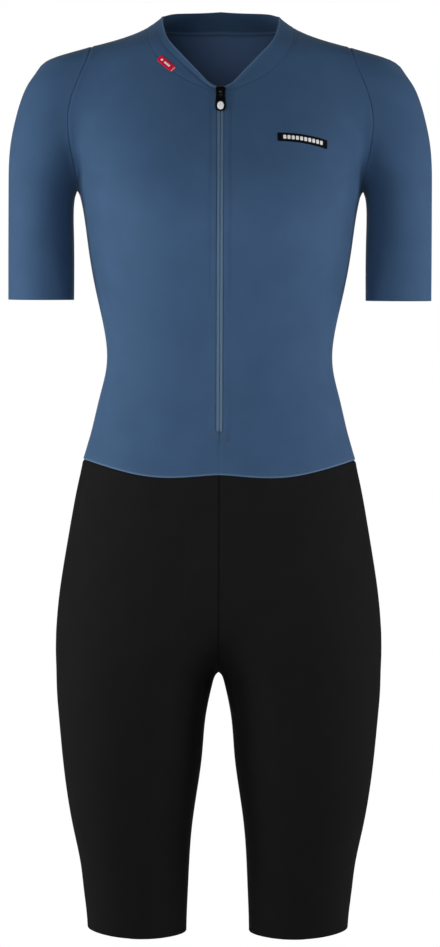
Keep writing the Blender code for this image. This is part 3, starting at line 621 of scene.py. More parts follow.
def panel_grid(left, right, bottom, top, wide, high):
    """A fine grid on the form between four seams; left and right run upwards.

    A main grid is blended between the seams and evened out on the form. It is then
    read finely, carried onto the seams' own fine points and put back on the form.
    """
    whole_u, whole_v = np.arange(wide + 1.0), np.arange(high + 1.0)
    main = coons(left(whole_v), right(whole_v), bottom(whole_u), top(whole_u),
                 whole_u / wide, whole_v / high)
    main[1:-1, 1:-1] = snap(main[1:-1, 1:-1])
    u, v = crowded(wide), crowded(high)
    grid = refined(settled(main), u, v)
    grid += coons(left(v) - grid[0], right(v) - grid[-1], bottom(u) - grid[:, 0],
                  top(u) - grid[:, -1], u / wide, v / high)
    grid[1:-1, 1:-1] = snap(grid[1:-1, 1:-1], 3)
    return grid


def distances(grid):
    """How far each point is from the grid's left, right, bottom and top edges."""
    along = np.linalg.norm(np.diff(grid, axis=1), axis=-1).cumsum(1)
    bottom = np.concatenate([np.zeros((len(grid), 1)), along], 1)
    across = np.linalg.norm(np.diff(grid, axis=0), axis=-1).cumsum(0)
    left = np.concatenate([np.zeros((1, grid.shape[1])), across])
    return left, left[-1:] - left, bottom, bottom[:, -1:] - bottom


def bell(distance, width):
    """A soft bump: 1 at no distance, falling off as exp(-(distance / width)^2)."""
    return np.exp(-(distance / width) ** 2)


def sewn(distance, depth):
    """Relief beside a seam: a narrow groove, and a low ridge of turned cloth beside it."""
    return RIDGE_RISE * bell(distance - RIDGE_AT, RIDGE_WIDTH) - depth * bell(distance, SEAM_WIDTH)


def rounded_edge(distance):
    """Relief beside a free edge: the last HEM_ROUND falls away like a quarter circle."""
    share = np.clip(1 - distance / HEM_ROUND, 0, 1)
    return -0.5 * HEM_ROUND * (1 - np.sqrt(1 - 0.96 * share * share))


def bust_relief(grid, rise):
    """Two soft rises on the chest, each exp(-r squared), on the side that faces forwards."""
    x, y, z = np.abs(grid[..., 0]), grid[..., 1], grid[..., 2]
    away = ((x - BUST_CENTRE[0]) / BUST_SPREAD) ** 2 + ((z - BUST_CENTRE[1]) / BUST_SPREAD) ** 2
    return rise * np.exp(-away) * np.clip(-y / BUST_DEPTH, 0, 1)


# Soft creases of the top: x and z of the start, x and z of the end, half
# width, height (a trough is below zero) and the side it is on.
CREASE_ROWS = (
    (-0.1480, -0.1330, -0.1180, -0.1520, 0.0050, -0.0007, "front"),
    (-0.1440, -0.1520, -0.1120, -0.1780, 0.0065, 0.0005, "front"),
    (0.1490, -0.1340, 0.1130, -0.1440, 0.0045, -0.0008, "front"),
    (0.1450, -0.1480, 0.1010, -0.1690, 0.0070, 0.0006, "front"),
    (0.1430, -0.1600, 0.1260, -0.1830, 0.0040, -0.0004, "front"),
    (-0.1010, -0.2960, -0.0520, -0.3150, 0.0090, 0.0006, "front"),
    (0.1040, -0.3230, 0.0700, -0.3310, 0.0075, -0.0005, "front"),
    (-0.1410, -0.1360, -0.0930, -0.1710, 0.0060, -0.0008, "back"),
    (0.1430, -0.1390, 0.1050, -0.1560, 0.0052, -0.0006, "back"),
    (-0.1080, -0.3060, -0.0330, -0.3270, 0.0085, 0.0009, "back"),
    (-0.0940, -0.3330, -0.0180, -0.3410, 0.0070, -0.0008, "back"),
    (0.1090, -0.3140, 0.0470, -0.3220, 0.0080, 0.0008, "back"),
    (0.0990, -0.3390, 0.0240, -0.3560, 0.0095, -0.0009, "back"),
)
CREASE_FADE = 0.02


def creases(grid):
    """Relief of the listed creases: each a bell across its line, fading at both ends.

    Along a line t runs from 0 to 1; the height is multiplied by sin(pi t) there. It
    fades out over CREASE_FADE before the suit turns from that side to the other.
    """
    relief = np.zeros(grid.shape[:2])
    for x, z, to_x, to_z, width, height, side in CREASE_ROWS:
        line = np.array([to_x - x, to_z - z])
        away = grid[..., [0, 2]] - (x, z)
        t = (away @ line) / (line @ line)
        across = (away[..., 0] * line[1] - away[..., 1] * line[0]) / np.sqrt(line @ line)
        facing = np.clip((grid[..., 1] if side == "back" else -grid[..., 1]) / CREASE_FADE, 0, 1)
        relief += facing * height * np.sin(np.pi * np.clip(t, 0, 1)) * bell(across, width)
    return relief


# ======================= meshes =======================

SHARP_ANGLE = np.radians(40)


def skinned(layer, ring_u=False, ring_v=False):
    """Quads over a grid of point numbers, closed round either way where asked."""
    if ring_u:
        layer = np.concatenate([layer, layer[:1]])
    if ring_v:
        layer = np.concatenate([layer, layer[:, :1]], 1)
    return np.stack([layer[:-1, :-1], layer[1:, :-1], layer[1:, 1:], layer[:-1, 1:]], -1).reshape(-1, 4)


def placed(name, data):
    """A new object in the scene's own collection."""
    thing = bpy.data.objects.new(name, data)
    bpy.context.scene.collection.objects.link(thing)
    return thing


def made(name, points, faces, finish, slot, body="suit", uv=None, marks=None, caps=()):
    """A named mesh piece of quads, and triangles in its caps, that rides on a body.

    Its faces are turned outwards where the volume they enclose comes out below zero.
    "finish" names its material, and "marks" holds one value a point for each attribute's
    name.
    """
    points, faces = np.asarray(points, np.float32).reshape(-1, 3), np.asarray(faces)
    caps = np.asarray(caps, int).reshape(-1, 3)
    a, b, c, d = (points[faces[:, n]].astype(float) for n in range(4))
    e, f, g = (points[caps[:, n]].astype(float) for n in range(3))
    if (a * (np.cross(b, c) + np.cross(c, d))).sum() + (e * np.cross(f, g)).sum() < 0:
        faces, caps = faces[:, ::-1], caps[:, ::-1]
    mesh = bpy.data.meshes.new(name)
    mesh.from_pydata(points.tolist(), [], faces.tolist() + caps.tolist())
    if uv is not None:
        corners = np.concatenate([faces.ravel(), caps.ravel()])
        layer = mesh.uv_layers.new(name="cloth")
        layer.data.foreach_set("uv", np.asarray(uv, np.float32).reshape(-1, 2)[corners].ravel())
    for label, values in (marks or {}).items():
        attribute = mesh.attributes.new(label, "FLOAT", "POINT")
        attribute.data.foreach_set("value", np.asarray(values, np.float32).ravel())
    mesh.validate()
    mesh.shade_smooth()
    mesh.set_sharp_from_angle(angle=SHARP_ANGLE)
    mesh.materials.append(material(finish))
    piece = placed(name, mesh)
    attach(piece, body)
    return piece


def shell(name, outer, inner, finish, slot, ring=False, marks=None):
    """A closed wall between two matching grids, with rims along its open edges.

    "marks" holds two grids for each attribute's name, for the outer and the inner face.
    The piece's map holds metres across and along the outer grid.
    """
    wide, high = outer.shape[:2]
    numbers = np.arange(wide * high).reshape(wide, high)
    back = numbers + wide * high
    faces = [skinned(numbers, ring), skinned(back, ring)[:, ::-1]]
    faces.append(skinned(np.stack([back[:, 0], numbers[:, 0]], 1), ring))
    faces.append(skinned(np.stack([numbers[:, -1], back[:, -1]], 1), ring))
    if not ring:
        for rim in ((numbers[0], back[0]), (back[-1], numbers[-1])):
            faces.append(skinned(np.stack(rim, 1))[:, ::-1][:, [1, 0, 3, 2]])
    left, _, bottom, _ = distances(outer)
    uv = np.stack([left, bottom], -1)
    marks = {label: np.stack(np.broadcast_arrays(*faces_of)) for label, faces_of in (marks or {}).items()}
    return made(name, np.concatenate([outer.reshape(-1, 3), inner.reshape(-1, 3)]),
                np.concatenate(faces), finish, slot, uv=np.concatenate([uv, uv]), marks=marks)


def worn_size(grid):
    """How wide a grid is where it is widest, and how long where it is longest."""
    return [float(np.linalg.norm(np.diff(grid, axis=n), axis=-1).sum(n).max()) for n in (0, 1)]


def declare_cloth(grid, node):
    """Hides the solid part that a panel stands for; the flat size and area it was cut to are worked out but
    not used.

    The area is the sum over the grid's cells of half the cross product of their diagonals.
    """
    share = sizes().cut_share
    across, along = [size * share for size in worn_size(grid)]
    a, b = grid[1:, 1:] - grid[:-1, :-1], grid[:-1, 1:] - grid[1:, :-1]
    area = np.linalg.norm(np.cross(a, b), axis=-1).sum() / 2 * share ** 2
    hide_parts(node)


def cloth(node, grid, relief, finish, slot, ring=False, mark=0.0, turned=0.0, painted_light=1.0):
    """A panel of cloth for a node, its outer face the grid raised by its relief.

    "mark" is where its outer side shows the edge colour, a painted highlight on the top and
    a painted seam shadow on the shorts; "turned" is where its inner side carries a seam's
    turned edge, which thickens it and shows the same colour; and "painted_light" is where
    that side is lightened with painted light. Each is a grid of shares or one share for the
    whole panel.
    """
    out, none = outward(grid), np.zeros(grid.shape[:2])
    outer = grid + relief[..., None] * out
    inner_relief = np.minimum(relief, 0) * INNER_GROOVE - sizes().cloth - TURNED_RISE * (none + turned)
    # Painted colour on both faces: "mark" and "turned" carry the edge colour, a painted highlight on the top
    # and a painted seam shadow on the shorts; "inside_painted_light" lightens the inner side with painted
    # light.
    piece = shell(node + "_cloth", outer, grid + inner_relief[..., None] * out, finish, slot, ring,
                  {"mark": (none + mark, none + turned), "inside_painted_light": (none, none + painted_light)})
    declare_cloth(np.concatenate([grid, grid[:1]]) if ring else grid, node)


def paired(name, grid, relief, finish, slot, mark=0.0, ring=False):
    """A panel and its mirror image, named after the hand each one is on."""
    mark = mark + np.zeros(grid.shape[:2])
    cloth(name + "_left", grid, relief, finish, slot, ring, mark)
    cloth(name + "_right", other_side(grid), relief[::-1], finish, slot, ring, mark[::-1])


# Each edge of a grid: the axis it lies across, its own line and the next one inwards.
EDGES = {"left": (0, 0, 1), "right": (0, -1, -2), "bottom": (1, 0, 1), "top": (1, -1, -2)}


def drawn_in(grid, *edges):
    """A grid with its sewn edges drawn in by SEAM_GAP, so that two panels never share a face."""
    grid = grid.copy()
    for axis, line, inner in (EDGES[edge] for edge in edges):
        lines = grid.swapaxes(0, axis)
        lines[line] += SEAM_GAP * unit(lines[inner] - lines[line])
    return grid


def lofted(name, points, finish, slot, body="suit", ring_v=False):
    """A closed piece from rings of points: axis 0 runs round, axis 1 from end to end.

    Where the ends aren't joined to each other they close on their middles.
    """
    wide, high = points.shape[:2]
    numbers = np.arange(wide * high).reshape(wide, high)
    if ring_v:
        return made(name, points, skinned(numbers, True, True), finish, slot, body)
    hubs, end = wide * high + np.zeros(wide, int), numbers[:, -1]
    caps = np.concatenate([np.stack([hubs, np.roll(numbers[:, 0], -1), numbers[:, 0]], -1),
                           np.stack([hubs + 1, end, np.roll(end, -1)], -1)])
    points = np.concatenate([points.reshape(-1, 3), points.mean(0)[[0, -1]]])
    return made(name, points, skinned(numbers, True), finish, slot, body, caps=caps)


STITCH_SHARE = 0.72      # how much of a stitch's length the thread shows for
STITCH_CELLS = (5, 6)    # rings along a stitch, points round each
STITCH_AHEAD = 5e-4      # how far ahead on its route a stitch looks for its direction


def stitches(name, route, finish, lift=0.0):
    """A row of stitches along a route on the form: each one a lens on its own line.

    A stitch is carried along its line with half width thread / 2 * sqrt(1 - 0.97 s^4),
    where s runs from -1 to 1, and stands half out of the cloth, which is "lift" and
    the bust above the form.
    """
    pitch, thread_half = sizes().stitch, sizes().thread / 2
    length = travelled(route)
    starts = np.arange(0.5, length[-1] / pitch - 0.5) * pitch
    middle, ahead = [np.stack([np.interp(starts + step, length, line) for line in route.T], -1)
                     for step in (0.0, STITCH_AHEAD)]
    ahead, out = unit(ahead - middle), outward(middle)
    side = np.cross(out, ahead)
    lift = (lift + bust_relief(middle, sizes().bust))[:, None, None, None]
    rings, round_it = STITCH_CELLS
    s = np.linspace(-1, 1, rings)[None, :, None, None]
    turn = np.linspace(0, 2 * np.pi, round_it, endpoint=False)[None, None, :, None]
    radius = thread_half * np.sqrt(1 - 0.97 * s ** 4)
    points = (middle[:, None, None] + s * pitch * STITCH_SHARE / 2 * ahead[:, None, None]
              + radius * np.cos(turn) * side[:, None, None]
              + (lift + radius * np.sin(turn)) * out[:, None, None])
    numbers = np.arange(points[..., 0].size).reshape(-1, rings, round_it)
    faces = skinned(numbers[0], False, True)[None] + numbers[:, 0, 0, None, None]
    ends = [numbers[:, 0, [0, 1, 2, 3]], numbers[:, 0, [0, 3, 4, 5]],
            numbers[:, -1, [3, 2, 1, 0]], numbers[:, -1, [5, 4, 3, 0]]]
    made(name, points, np.concatenate([faces.reshape(-1, 4), *ends]), finish, "suit_blue")


# ======================= materials =======================

class Nodes:
    """Short calls for building a material's node tree."""

    def __init__(self, name):
        self.material = bpy.data.materials.new(name)
        self.material.use_nodes = True
        self.tree = self.material.node_tree
        self.shader = self.tree.nodes["Principled BSDF"]

    def feed(self, value, socket):
        """Sets a socket to a number or a colour, or links another node's output to it."""
        if isinstance(value, (int, float)):
            socket.default_value = value
        elif isinstance(value, tuple):
            socket.default_value = (*value, 1.0)
        else:
            self.tree.links.new(value, socket)

    def add(self, kind, inputs=(), **settings):
        """A node with these settings and these values in its inputs, by name or number."""
        node = self.tree.nodes.new(kind)
        for key, value in settings.items():
            setattr(node, key, value)
        for key, value in dict(inputs).items():
            self.feed(value, node.inputs[key])
        return node

    def math(self, operation, a, b=0.0):
        """One step of arithmetic."""
        return self.add("ShaderNodeMath", {0: a, 1: b}, operation=operation).outputs[0]

    def wave(self, value, length):
        """|sin(pi value / length)|: one rounded rib for every length."""
        return self.math("ABSOLUTE", self.math("SINE", self.math("MULTIPLY", value, np.pi / length)))

    def noise(self, scale, detail=2.0):
        """Cloudy noise on the piece's own coordinates."""
        place = self.add("ShaderNodeTexCoord").outputs["Object"]
        inputs = {"Vector": place, "Scale": scale, "Detail": detail}
        return self.add("ShaderNodeTexNoise", inputs).outputs["Fac"]

    def cloth_map(self):
        """The piece's own map: metres across and along it."""
        place = self.add("ShaderNodeUVMap", uv_map="cloth").outputs["UV"]
        return self.add("ShaderNodeSeparateXYZ", {0: place}).outputs[:2]

    def mark(self, label):
        """One of the piece's own attributes."""
        return self.add("ShaderNodeAttribute", attribute_name=label).outputs["Fac"]

    def mix(self, factor, first, second):
        """Two colours mixed."""
        inputs = {"Factor": factor, 6: first, 7: second}
        return self.add("ShaderNodeMix", inputs, data_type="RGBA").outputs[2]

    def shades(self, factor, colour, low, high):
        """A colour that runs from one share of itself to another."""
        return self.mix(factor, shade_of(colour, low), shade_of(colour, high))

    def spread(self, value, low=0.0, high=1.0):
        """Noise, most of which lies between 0.3 and 0.7, spread from low to high."""
        inputs = {"Value": value, "From Min": 0.3, "From Max": 0.7, "To Min": low, "To Max": high}
        return self.add("ShaderNodeMapRange", inputs).outputs["Result"]

    def finish(self, colour, relief, distance, strength, **values):
        """Sets the shader's colour, relief and other inputs; returns the material."""
        inputs = {"Height": relief, "Distance": distance, "Strength": strength}
        values.update(Base_Color=colour, Normal=self.add("ShaderNodeBump", inputs).outputs["Normal"])
        for key, value in values.items():
            self.feed(value, self.shader.inputs[key.replace("_", " ")])
        return self.material


def shade_of(colour, share):
    """A colour made lighter or darker by a share."""
    return tuple(float(c) * share for c in colour)


def knit(name, colour, edge, painted_light, rough, sheen, gloss=0.12, wale=0.00042, course=0.00050):
    """Fine warp knit: loops wale by course, slightly cloudy colour, a soft nap.

    Height of the knit = |sin(pi u / wale)| * (0.6 + 0.4 sin(2 pi v / course + 2 sin(2 pi u / wale))).
    The colour lightens where the loops stand higher, a painted highlight. The piece's
    "inside_painted_light" lightens its inner side with painted light, and its "mark" shows
    the edge colour: a painted highlight on the top, a painted seam shadow on the shorts and
    darker channels on the pad.
    """
    n = Nodes(name)
    across, along = n.cloth_map()
    lean = n.math("MULTIPLY", n.math("SINE", n.math("MULTIPLY", across, 2 * np.pi / wale)), 2.0)
    loop = n.math("SINE", n.math("ADD", n.math("MULTIPLY", along, 2 * np.pi / course), lean))
    height = n.math("MULTIPLY", n.wave(across, wale), n.math("ADD", n.math("MULTIPLY", loop, 0.4), 0.6))
    tone = n.shades(n.spread(n.noise(38.0, 3.0)), colour, 0.95, 1.05)
    # Painted highlight: the colour lightens towards 1.5 times itself where the loops stand higher.
    tone = n.mix(n.math("MULTIPLY", height, 0.10), tone, shade_of(colour, 1.5))
    # Painted light on the inner side, then the edge colour over it: a painted highlight on the top, a painted
    # seam shadow on the shorts, darker channels on the pad.
    tone = n.mix(n.mark("mark"), n.mix(n.mark("inside_painted_light"), tone, tuple(painted_light)), tuple(edge))
    rough = n.spread(n.noise(900.0), rough - 0.05, rough + 0.05)
    return n.finish(tone, height, 0.00006, 0.6, Roughness=rough, Sheen_Weight=sheen, Sheen_Roughness=0.45,
                    Sheen_Tint=(0.55, 0.78, 1.0), Specular_IOR_Level=gloss)


def thread(name, colour):
    """Twisted sewing thread: fine bands along it and a low gloss."""
    n = Nodes(name)
    twist = n.noise(5200.0, 1.0)
    return n.finish(n.shades(n.spread(twist), colour, 0.8, 1.15), twist, 0.00004, 0.5,
                    Roughness=0.55, Sheen_Weight=0.2)


def moulded(name, colour, rough, metal=0.0, grain=1400.0, cloudy=0.1):
    """Moulded plastic, lacquered metal or paint with a faint grain."""
    n = Nodes(name)
    grained = n.noise(grain, 2.0)
    return n.finish(n.shades(n.spread(grained), colour, 1 - cloudy, 1 + cloudy), grained, 0.00002, 0.3,
                    Roughness=n.spread(grained, rough - 0.04, rough + 0.04), Metallic=metal)


def tape_weave(name, colour):
    """Woven zip tape: ribs across it every 0.55 mm."""
    n = Nodes(name)
    rib = n.wave(n.cloth_map()[1], 0.00055)
    return n.finish(n.shades(rib, colour, 0.8, 1.1), rib, 0.00008, 0.6,
                    Roughness=0.6, Sheen_Weight=0.25, Specular_IOR_Level=0.4)


def printed(name, colour, rough):
    """Bonded film or tight weave: a close twill on the piece's own map."""
    n = Nodes(name)
    twill = n.wave(n.math("ADD", *n.cloth_map()), 0.0004)
    return n.finish(n.shades(twill, colour, 0.85, 1.1), twill, 0.00004, 0.4,
                    Roughness=rough, Specular_IOR_Level=0.1)


def material(key):
    """The suit's materials, each made once."""
    colours = bpy.context.scene.suit_colours
    found = bpy.data.materials.get("suit_" + key)
    if found:
        return found
    recipes = {
        # The top's knit: a painted highlight colour for its edges, painted light on its inner side. The
        # shorts' knit: 0.3 of black, a painted seam shadow, for its seams, and 1.9 of black, painted light,
        # on its inner side.
        "blue_knit": lambda m: knit(m, colours.blue, colours.blue_painted_highlight, colours.blue_painted_light_inside, 0.75, 0.10),
        "black_knit": lambda m: knit(m, colours.black, shade_of(colours.black, 0.3),
                                     shade_of(colours.black, 1.9), 0.85, 0.002, 0.03),
        "box_thread": lambda m: thread(m, shade_of(colours.blue, 0.4)),
        "blue_thread": lambda m: thread(m, shade_of(colours.blue, 0.75)),
        "zip_tape": lambda m: tape_weave(m, colours.tape),
        "zip_coil": lambda m: moulded(m, colours.tape, 0.45),
        "lacquer": lambda m: moulded(m, colours.lacquer, 0.28, 0.4),
        "white_enamel": lambda m: moulded(m, shade_of(colours.mark, 1.15), 0.35),
        "label_film": lambda m: printed(m, colours.label, 0.8),
        "mark_film": lambda m: printed(m, colours.mark, 0.6),
        "tab_weave": lambda m: printed(m, colours.red, 0.6),
        "tab_rim": lambda m: printed(m, shade_of(colours.mark, 0.75), 0.6),
        "pad_fleece": lambda m: knit(m, colours.pad, shade_of(colours.pad, 0.6), colours.pad,
                                     0.85, 0.35, 0.12, 0.0009, 0.0009),
        "floor": lambda m: moulded(m, colours.floor, 0.9, 0.0, 3.0, 0.01),
    }
    return recipes[key]("suit_" + key)


# ======================= pieces =======================

# Bands along an edge: height or share, distance of the band's middle from the edge, width.
# WAIST_PAINTED_HIGHLIGHT and COLLAR_PAINTED_HIGHLIGHT lay a painted highlight of lighter blue along the waist
# seam and the collar's edge; COLLAR_TURNED_AND_HIGHLIGHT thickens the collar's inner side by its seam and
# paints the same highlight there.
WAIST_RIDGE, WAIST_PAINTED_HIGHLIGHT = (0.0003, 0.0012, 0.0009), (1.0, 0.0006, 0.0009)
COLLAR_BEAD, COLLAR_PAINTED_HIGHLIGHT = (0.00025, 0.0014, 0.0010), (1.0, 0.0006, 0.0008)
# BACK_NECK_NO_PAINTED_LIGHT is the band by the neck seam where the back's inner side keeps its plain colour
# instead of the painted light.
COLLAR_TURNED_AND_HIGHLIGHT, BACK_NECK_NO_PAINTED_LIGHT = (0.9, 0.0008, 0.0007), (1.0, 0.0018, 0.0011)
# SHORTS_PAINTED_SEAM_SHADOW paints a dark seam shadow along each panel's inseam and crotch seam.
SHORTS_PAINTED_SEAM_SHADOW = (0.75, 0.0, 0.0009)
SHORTS_SEAMS = (0.6, 0.5, 1.6)           # depth of the inner, side and waist seams


def band(distance, height, place, width):
    """A bell along an edge."""
    return height * bell(distance - place, width)


def front_pieces():
    """The two fronts: placket beside the zip, sewn on every other side.

    Relief = the bust and creases, each seam's groove and ridge, and above the zip's foot
    the raised placket with a step along its stitches; below it, the raised stitched box.
    """
    depth = sizes().seam_depth
    low = seam((waist, 0.0, SHORTS_SIDE, N_WAIST_FRONT), (waist, SHORTS_SIDE, 90.0, N_WAIST_SIDE))
    high = seam((neck_seam, zip_side(), SHOULDER_SEAM, N_NECK_FRONT), (shoulder, 0.0, 1.0, N_SHOULDER))
    inner = seam((front_edge, WAIST(0.0)[0], neck_seam(zip_side())[2], N_SIDE + N_ARMHOLE))
    outer = seam((underarm, WAIST(90.0)[0], armpit()[0][2], N_SIDE), (armhole, -90.0, 90.0, N_ARMHOLE))
    grid = panel_grid(inner, outer, low, high, N_WAIST_FRONT + N_WAIST_SIDE, N_SIDE + N_ARMHOLE)
    zip_edge, side, bottom, top = distances(grid)
    above = np.clip((grid[..., 2] - ZIP_FOOT) / FOOT_SOFT, 0, 1)
    placket = np.clip((PLACKET - zip_edge) / PLACKET_SOFT, 0, 1)
    boxed = (np.clip((ZIP_HALF_GAP + PLACKET - grid[..., 0]) / BOX_SOFT, 0, 1)
             * np.clip((grid[..., 2] - ZIP_FOOT + ZIP_BOX) / BOX_SOFT, 0, 1))
    by_neck = crowded(N_WAIST_FRONT + N_WAIST_SIDE)[:, None] < N_NECK_FRONT
    relief = (bust_relief(grid, sizes().bust) + creases(grid) + sewn(side, depth) + sewn(bottom, depth)
              + np.where(by_neck, NECK_SEAM_SHARE, 1.0) * sewn(top, depth)
              + band(bottom, *WAIST_RIDGE) + above * (PLACKET_RISE * placket + rounded_edge(zip_edge)
                                             - PLACKET_STEP * bell(zip_edge - PLACKET, PLACKET_SOFT))
              + (1 - above) * (sewn(zip_edge, depth * 0.6) + PLACKET_RISE * boxed))
    # A painted highlight along the waist seam; the fronts' inner side gets painted light.
    paired("front", drawn_in(grid, *EDGES), relief, "blue_knit", "suit_blue", band(bottom, *WAIST_PAINTED_HIGHLIGHT))


def back_piece():
    """The back of the top: half of it, and its mirror image, in one panel."""
    low = seam((waist, 180.0, 90.0, N_WAIST_BACK))
    high = seam((neck_seam, 180.0, SHOULDER_SEAM, N_NECK_BACK), (shoulder, 0.0, 1.0, N_SHOULDER))
    middle = seam((back_centre, WAIST(180.0)[0], NECK(180.0)[1], N_SIDE + N_ARMHOLE))
    outer = seam((underarm, WAIST(90.0)[0], armpit()[0][2], N_SIDE), (armhole, 270.0, 90.0, N_ARMHOLE))
    half = panel_grid(middle, outer, low, high, N_WAIST_BACK, N_SIDE + N_ARMHOLE)
    grid = np.concatenate([other_side(half)[:-1], half])
    _, _, bottom, top = distances(grid)
    relief = sum(sewn(edge, sizes().seam_depth) for edge in distances(grid)) + band(bottom, *WAIST_RIDGE)
    # A painted highlight along the waist seam; painted light on the inner side, left off a band by the neck
    # seam.
    cloth("back", drawn_in(grid, *EDGES), relief + creases(grid), "blue_knit", "suit_blue",
          mark=band(bottom, *WAIST_PAINTED_HIGHLIGHT), painted_light=1 - band(top, *BACK_NECK_NO_PAINTED_LIGHT))


CUFF_DROP = 0.0042       # how much lower a cuff hangs at the front than at the back
SLEEVE_WRAP = 4          # cells repeated at each end of a ring, so that it is read smoothly


def sleeve_pieces():
    """The sleeves: rings from the armhole, crowded towards the cap, to the cuff.

    The direction and height of each ring run straight from the armhole's to the cuff's.
    The cuff then drops, most at the front: by CUFF_DROP * share^3 * forward.
    """
    loop, end = [seam((edge, -90.0, 90.0, N_ARMHOLE), (edge, 90.0, 270.0, N_ARMHOLE))
                 for edge in (armhole, cuff)]
    cells = 2 * N_ARMHOLE
    around_it = np.arange(cells, dtype=float)
    edges = loop(around_it), end(around_it)
    turns = [np.unwrap(np.arctan2(edge[:, 0] - arm_middle(edge[:, 2]), -edge[:, 1])) for edge in edges]
    share = np.linspace(0, 1, N_SLEEVE + 1)[None, :] ** CAP_CROWD
    turn = turns[0][:, None] * (1 - share) + turns[1][:, None] * share
    z = edges[0][:, 2:] * (1 - share) + edges[1][:, 2:] * share
    main = meet(rays(arm_middle(z), turn, z), 0, 0.12)
    main[:, 0], main[:, -1] = edges
    main = settled(main, ring=True)
    u, v = np.arange(cells * FINE) / FINE, crowded(N_SLEEVE)
    wrapped = np.concatenate([main[-SLEEVE_WRAP:], main, main[:SLEEVE_WRAP]])
    grid = refined(wrapped, u + SLEEVE_WRAP, v)
    blend = (v / N_SLEEVE)[None, :, None]
    grid += (1 - blend) * (loop(u) - grid[:, 0])[:, None] + blend * (end(u) - grid[:, -1])[:, None]
    forward = 0.5 - 0.5 * grid[..., 1] / np.abs(grid[:, -1, 1]).max()
    grid[..., 2] -= CUFF_DROP * blend[..., 0] ** 3 * np.clip(forward, 0, 1)
    grid[:, 1:-1] = snap(grid[:, 1:-1], 3)
    _, _, cap, edge = distances(grid)
    relief = sewn(cap, sizes().seam_depth) + rounded_edge(edge)
    # The sleeves' inner side gets painted light.
    paired("sleeve", drawn_in(grid, "bottom"), relief, "blue_knit", "suit_blue", ring=True)


# The crease under the collar's turned edge: degrees from the front, distance from the edge.
FOLD_ROWS = ((0, 0.0032), (10, 0.0042), (25, 0.0060), (45, 0.0075), (180, 0.0080))
# Its depth: degrees from the front towards the wearer's left, depth.
FOLD_DEPTHS = ((-75, 0.0), (-50, 0.0004), (-20, 0.0010), (-4, 0.0007), (4, 0.0), (20, 0.0002),
               (60, 0.0))
FOLD_WIDTH = 0.0011


def collar_piece():
    """The collar band, with a painted highlight along its turned edge and the soft crease below that."""
    depth = sizes().seam_depth
    low, high = [seam((edge, zip_side(), SHOULDER_SEAM, N_NECK_FRONT),
                      (edge, SHOULDER_SEAM, 180.0, N_NECK_BACK)) for edge in (neck_seam, neck_edge)]
    u, v = crowded(N_NECK_FRONT + N_NECK_BACK, high=False), crowded(N_COLLAR) / N_COLLAR
    half = snap(low(u)[:, None] * (1 - v[None, :, None]) + high(u)[:, None] * v[None, :, None])
    grid = np.concatenate([half, other_side(half)[1:]])
    left, right, bottom, top = distances(grid)
    relief = (NECK_SEAM_SHARE * sewn(bottom, depth)
              + rounded_edge(top) + rounded_edge(left) + rounded_edge(right))
    from_front = np.degrees(np.arctan2(grid[..., 0], -grid[..., 1]))
    fold = np.interp(np.abs(from_front), *np.array(FOLD_ROWS).T)
    fold_depth = np.interp(from_front, *np.array(FOLD_DEPTHS).T)
    relief += band(top, *COLLAR_BEAD) - band(top, fold_depth, fold, FOLD_WIDTH)
    # A painted highlight along the collar's edge and inside by its seam; no painted light on its inner side.
    cloth("collar", drawn_in(grid, "bottom"), relief, "blue_knit", "suit_blue",
          mark=band(top, *COLLAR_PAINTED_HIGHLIGHT), turned=band(bottom, *COLLAR_TURNED_AND_HIGHLIGHT), painted_light=0.0)


# The seat pad's front edge: half width, height, drop at the half width, rise, softness.
PAD_EDGE = (0.0340, -0.5150, 0.0500, 0.0008, 0.0030)


def shorts_relief(grid):
    """The seat pad's front edge showing softly through the cloth.

    A low step on an arch, rise / (1 + exp((z - arch) / softness)), where the arch falls
    as the drop times (x / half width)^2.2.
    """
    half, top, drop, rise, soft = PAD_EDGE
    x, y, z = grid[..., 0], grid[..., 1], grid[..., 2]
    arch = top - drop * (np.abs(x) / half) ** 2.2
    return np.where(y < 0, rise / (1 + np.exp(np.clip((z - arch) / soft, -40, 40))), 0.0)


def shorts_pieces():
    """The four panels of the shorts, from the waist to the hems."""
    depth = sizes().seam_depth
    ground = hem(np.array([-90.0, 90.0]))[:, 2]
    apex = crotch(90.0)
    tops = {"front": (waist(0.0), ((waist, 0.0, SHORTS_SIDE, N_WAIST_FRONT),)),
            "back": (waist(180.0), ((waist, 180.0, 90.0, N_WAIST_BACK),
                                    (waist, 90.0, SHORTS_SIDE, N_WAIST_SIDE)))}
    inner_legs, full_turns = {"front": -90.0, "back": 270.0}, {"front": 0.0, "back": 360.0}
    for side, (start, runs) in tops.items():
        wide = sum(cells for *_, cells in runs)
        inner = seam((inseam, ground[0], apex[2], N_INSEAM),
                     (crotch, 90.0, crotch_turn(start) + full_turns[side], N_CROTCH))
        outer = seam((shorts_side, ground[1], WAIST(SHORTS_SIDE)[0], N_INSEAM + N_CROTCH))
        low = seam((hem, inner_legs[side], 90.0, wide))
        grid = panel_grid(inner, outer, low, seam(*runs), wide, N_INSEAM + N_CROTCH)
        left, right, bottom, top = distances(grid)
        inseam_share, side_share, waist_share = SHORTS_SEAMS
        relief = (inseam_share * sewn(left, depth) + side_share * sewn(right, depth)
                  + sewn(top, waist_share * depth) + rounded_edge(bottom) + shorts_relief(grid))
        # A painted seam shadow along the inseam and crotch seam; painted light on the inner side.
        paired(f"short_{side}", drawn_in(grid, "left", "right", "top"), relief, "black_knit",
               "shorts_black", band(left, *SHORTS_PAINTED_SEAM_SHADOW))


